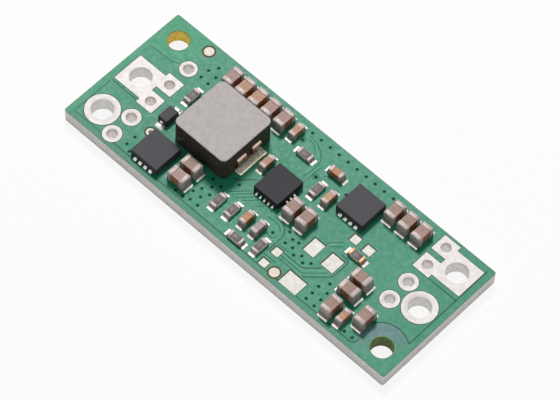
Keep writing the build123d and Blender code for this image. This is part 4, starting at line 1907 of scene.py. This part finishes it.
@dataclass
class Components:
    """Every component of the board with its solder."""

    paddle_inset: float = 0.65
    paddle_height: float = 0.2

    def build(self) -> None:
        """Make the components, then the solder that holds them."""
        inductor, diode = PowerInductor(), SmallDiode()
        packages = [FlatPackage("input_transistor"), FlatPackage("output_transistor")]
        packages.append(FlatPackage("controller", DARK_EPOXY, own_leads=True))
        for part in [inductor, diode, *packages]:
            part.build()
        kinds = self.kinds()
        solder = Form()
        for kind in kinds:
            kind.build()
            solder.join(kind.joints())
        # Chip solder slopes carry painted shade; the toes keep the solder's own light tone
        solder.piece("chip_solder", [SOLDER_PAINTED_SHADE, TOE], ["chip_solder_joints"])
        controller_rows = self.controller_rows()
        leads = Form().join(diode.joints())
        for row in self.transistor_rows() + controller_rows:
            leads.join(row.joints())
        leads.piece("lead_solder", [TOE, DULL_TOE], ["package_solder_joints"])
        self.controller_leadframe(controller_rows)
        inductor.joints().piece("inductor_solder", [FRESH_SOLDER, STAINED_SOLDER])

    def kinds(self) -> list[ChipKind]:
        """The kinds of chips, with the tone of each capacitor in the order of its name.

        Returns:
            Each kind with its sizes.
        """
        rose, tan, brown, orange, lilac, amber = Ceramic
        large = {"end": 0.48, "skin": 0.05, "soft": 0.14, "toe": 0.3}
        small = {"end": 0.36, "skin": 0.04, "soft": 0.09, "toe": 0.4, "rim": 0.2}
        small_tones = (tan, amber, tan, tan, orange, lilac, orange)
        return [
            # Brown is a tone of these ceramics; on the seventh input capacitor it also stands in for painted
            # shade
            CeramicCapacitors("input_capacitor", **large, tones=(rose, tan, tan, rose, rose, rose, brown)),
            CeramicCapacitors("centre_capacitor", **large, tones=(brown, brown)),
            CeramicCapacitors("output_capacitor", **large, tones=(brown, brown, rose) + (brown,) * 4),
            CeramicCapacitors("small_capacitor", **small, tones=small_tones),
            ChipResistors("resistor", end=0.3, skin=0.03, soft=0.04, toe=0.42, rim=0.24),
        ]

    def transistor_rows(self) -> list[LeadRow]:
        """The rows of leads of the two transistors.

        Returns:
            Two rows for each transistor.
        """
        names, turns = ("input_transistor", "output_transistor"), (-math.pi / 2, math.pi / 2)
        return [LeadRow(name, turn, count=4, pitch=0.65, width=0.36) for name in names for turn in turns]

    def controller_rows(self) -> list[LeadRow]:
        """The rows of leads round the controller.

        Returns:
            Its four rows.
        """
        rows = ((0, 3, 0.08), (1, 5, 0.26), (2, 3, 0.08), (3, 5, 0.26))
        shared = {"pitch": 0.5, "width": 0.18, "inner": 0.35}
        return [
            LeadRow("controller", quarter * math.pi / 2, count, climb=climb, **shared)
            for quarter, count, climb in rows
        ]

    def controller_leadframe(self, rows: Sequence[LeadRow]) -> None:
        """The controller's leads and the paddle between them.

        Args:
            rows: Its rows of leads.
        """
        low, high = span("controller_package")
        inset, seat = self.paddle_inset, Face.UPPER.land
        low_corner = (low.x + inset, low.y + inset, seat)
        high_corner = (high.x - inset, high.y - inset, seat + self.paddle_height)
        leadframe = Form.block(low_corner, high_corner)
        for row in rows:
            leadframe.join(row.leads())
        leadframe.piece("controller_leads", [LEAD], ["controller_leadframe"])


# Studio


@dataclass
class Lamp:
    """A soft square lamp that faces the board."""

    name: str
    toward: Point
    distance: float
    size: float
    level: float

    def build(self) -> None:
        """Hang the lamp."""
        light = bpy.data.lights.new(self.name, "AREA")
        light.shape, light.size = "SQUARE", self.size
        light.energy = self.level * (math.pi * self.distance) ** 2
        hung = bpy.data.objects.new(self.name, light)
        direction = Vector(self.toward).normalized()
        hung.location = direction * self.distance
        hung.rotation_mode = "QUATERNION"
        hung.rotation_quaternion = (-direction).to_track_quat("-Z", "Y")
        bpy.context.scene.collection.objects.link(hung)


@dataclass
class Studio:
    """The floor, the lamps, the white surroundings and the camera."""

    eye: Point = (113.18, -130.92, 280.84)
    aim: Point = (0.976, -0.627, 1.6)
    roll: float = 3.332
    focal_pixels: float = 3559.3
    image_width: float = 560
    offset: Place = (-0.7, 0.8)
    sensor: float = 36
    clip: Place = (0.01, 10)
    surround: float = 0.24
    floor_reach: float = 1.5
    floor_paper: Point = (244, 244, 244)
    floor_glow: float = 0.88

    def build(self) -> None:
        """Set up the studio."""
        self.floor()
        self.world()
        Lamp("key_lamp", (-0.375, 0.385, 0.848), distance=0.5, size=0.1, level=0.72).build()
        Lamp("front_fill", (0.85, -0.8, 0.7), distance=0.4, size=0.3, level=0.1).build()
        self.camera()
        view = bpy.context.scene.view_settings
        view.view_transform = "Standard"

    def white_to_camera(self, tree: bpy.types.NodeTree) -> Socket:
        """Find out whether a ray is one that should see plain white.

        Args:
            tree: The node tree that needs to know.

        Returns:
            The socket that is 1 for camera, glossy and transmission rays.
        """
        path = tree.nodes.new("ShaderNodeLightPath")
        total = path.outputs["Is Camera Ray"]
        for name in ("Is Glossy Ray", "Is Transmission Ray"):
            larger = tree.nodes.new("ShaderNodeMath")
            larger.operation = "MAXIMUM"
            tree.links.new(total, larger.inputs[0])
            tree.links.new(path.outputs[name], larger.inputs[1])
            total = larger.outputs[0]
        return total

    def floor(self) -> None:
        """A pale floor that keeps a faint shadow of the module."""
        bm = bmesh.new()
        bmesh.ops.create_grid(bm, x_segments=1, y_segments=1, size=self.floor_reach)
        mesh = bpy.data.meshes.new("floor")
        bm.to_mesh(mesh)
        bm.free()
        floor = bpy.data.objects.new("floor", mesh)
        bpy.context.scene.collection.objects.link(floor)
        material = bpy.data.materials.new("floor_paper")
        material.use_nodes = True
        tree = material.node_tree
        tree.nodes.clear()
        paper = tree.nodes.new("ShaderNodeBsdfDiffuse")
        paper.inputs["Color"].default_value = screen(*self.floor_paper)
        glow = tree.nodes.new("ShaderNodeEmission")
        glow.inputs["Strength"].default_value = 1.0
        share = tree.nodes.new("ShaderNodeMath")
        share.operation = "MULTIPLY"
        share.inputs[1].default_value = self.floor_glow
        mix, out = tree.nodes.new("ShaderNodeMixShader"), tree.nodes.new("ShaderNodeOutputMaterial")
        tree.links.new(self.white_to_camera(tree), share.inputs[0])
        tree.links.new(share.outputs[0], mix.inputs[0])
        tree.links.new(paper.outputs[0], mix.inputs[1])
        tree.links.new(glow.outputs[0], mix.inputs[2])
        tree.links.new(mix.outputs[0], out.inputs["Surface"])
        mesh.materials.append(material)

    def world(self) -> None:
        """White surroundings, seen at full strength and lighting the module at a lower one."""
        world = bpy.data.worlds.new("surroundings")
        bpy.context.scene.world = world
        world.use_nodes = True
        tree = world.node_tree
        background = tree.nodes["Background"]
        level = tree.nodes.new("ShaderNodeMapRange")
        level.inputs["To Min"].default_value = self.surround
        tree.links.new(self.white_to_camera(tree), level.inputs["Value"])
        tree.links.new(level.outputs["Result"], background.inputs["Strength"])
        background.inputs["Color"].default_value = (1, 1, 1, 1)

    def camera(self) -> None:
        """The camera, where the photograph was taken from."""
        data = bpy.data.cameras.new("camera")
        data.sensor_width = self.sensor
        data.lens = self.focal_pixels / self.image_width * self.sensor
        data.shift_x, data.shift_y = (offset / self.image_width for offset in self.offset)
        data.clip_start, data.clip_end = self.clip
        camera = bpy.data.objects.new("camera", data)
        eye, aim = Vector(self.eye) * MM, Vector(self.aim) * MM
        camera.location = eye
        camera.rotation_mode = "QUATERNION"
        roll = Quaternion((0, 0, 1), math.radians(self.roll))
        camera.rotation_quaternion = (aim - eye).to_track_quat("-Z", "Y") @ roll
        bpy.context.scene.collection.objects.link(camera)
        bpy.context.scene.camera = camera


def main() -> None:
    """Build the module and its studio."""
    logging.basicConfig(level=logging.INFO, format="%(message)s")
    CircuitBoard().build()
    Components().build()
    Studio().build()


if __name__ == "__main__":
    main()
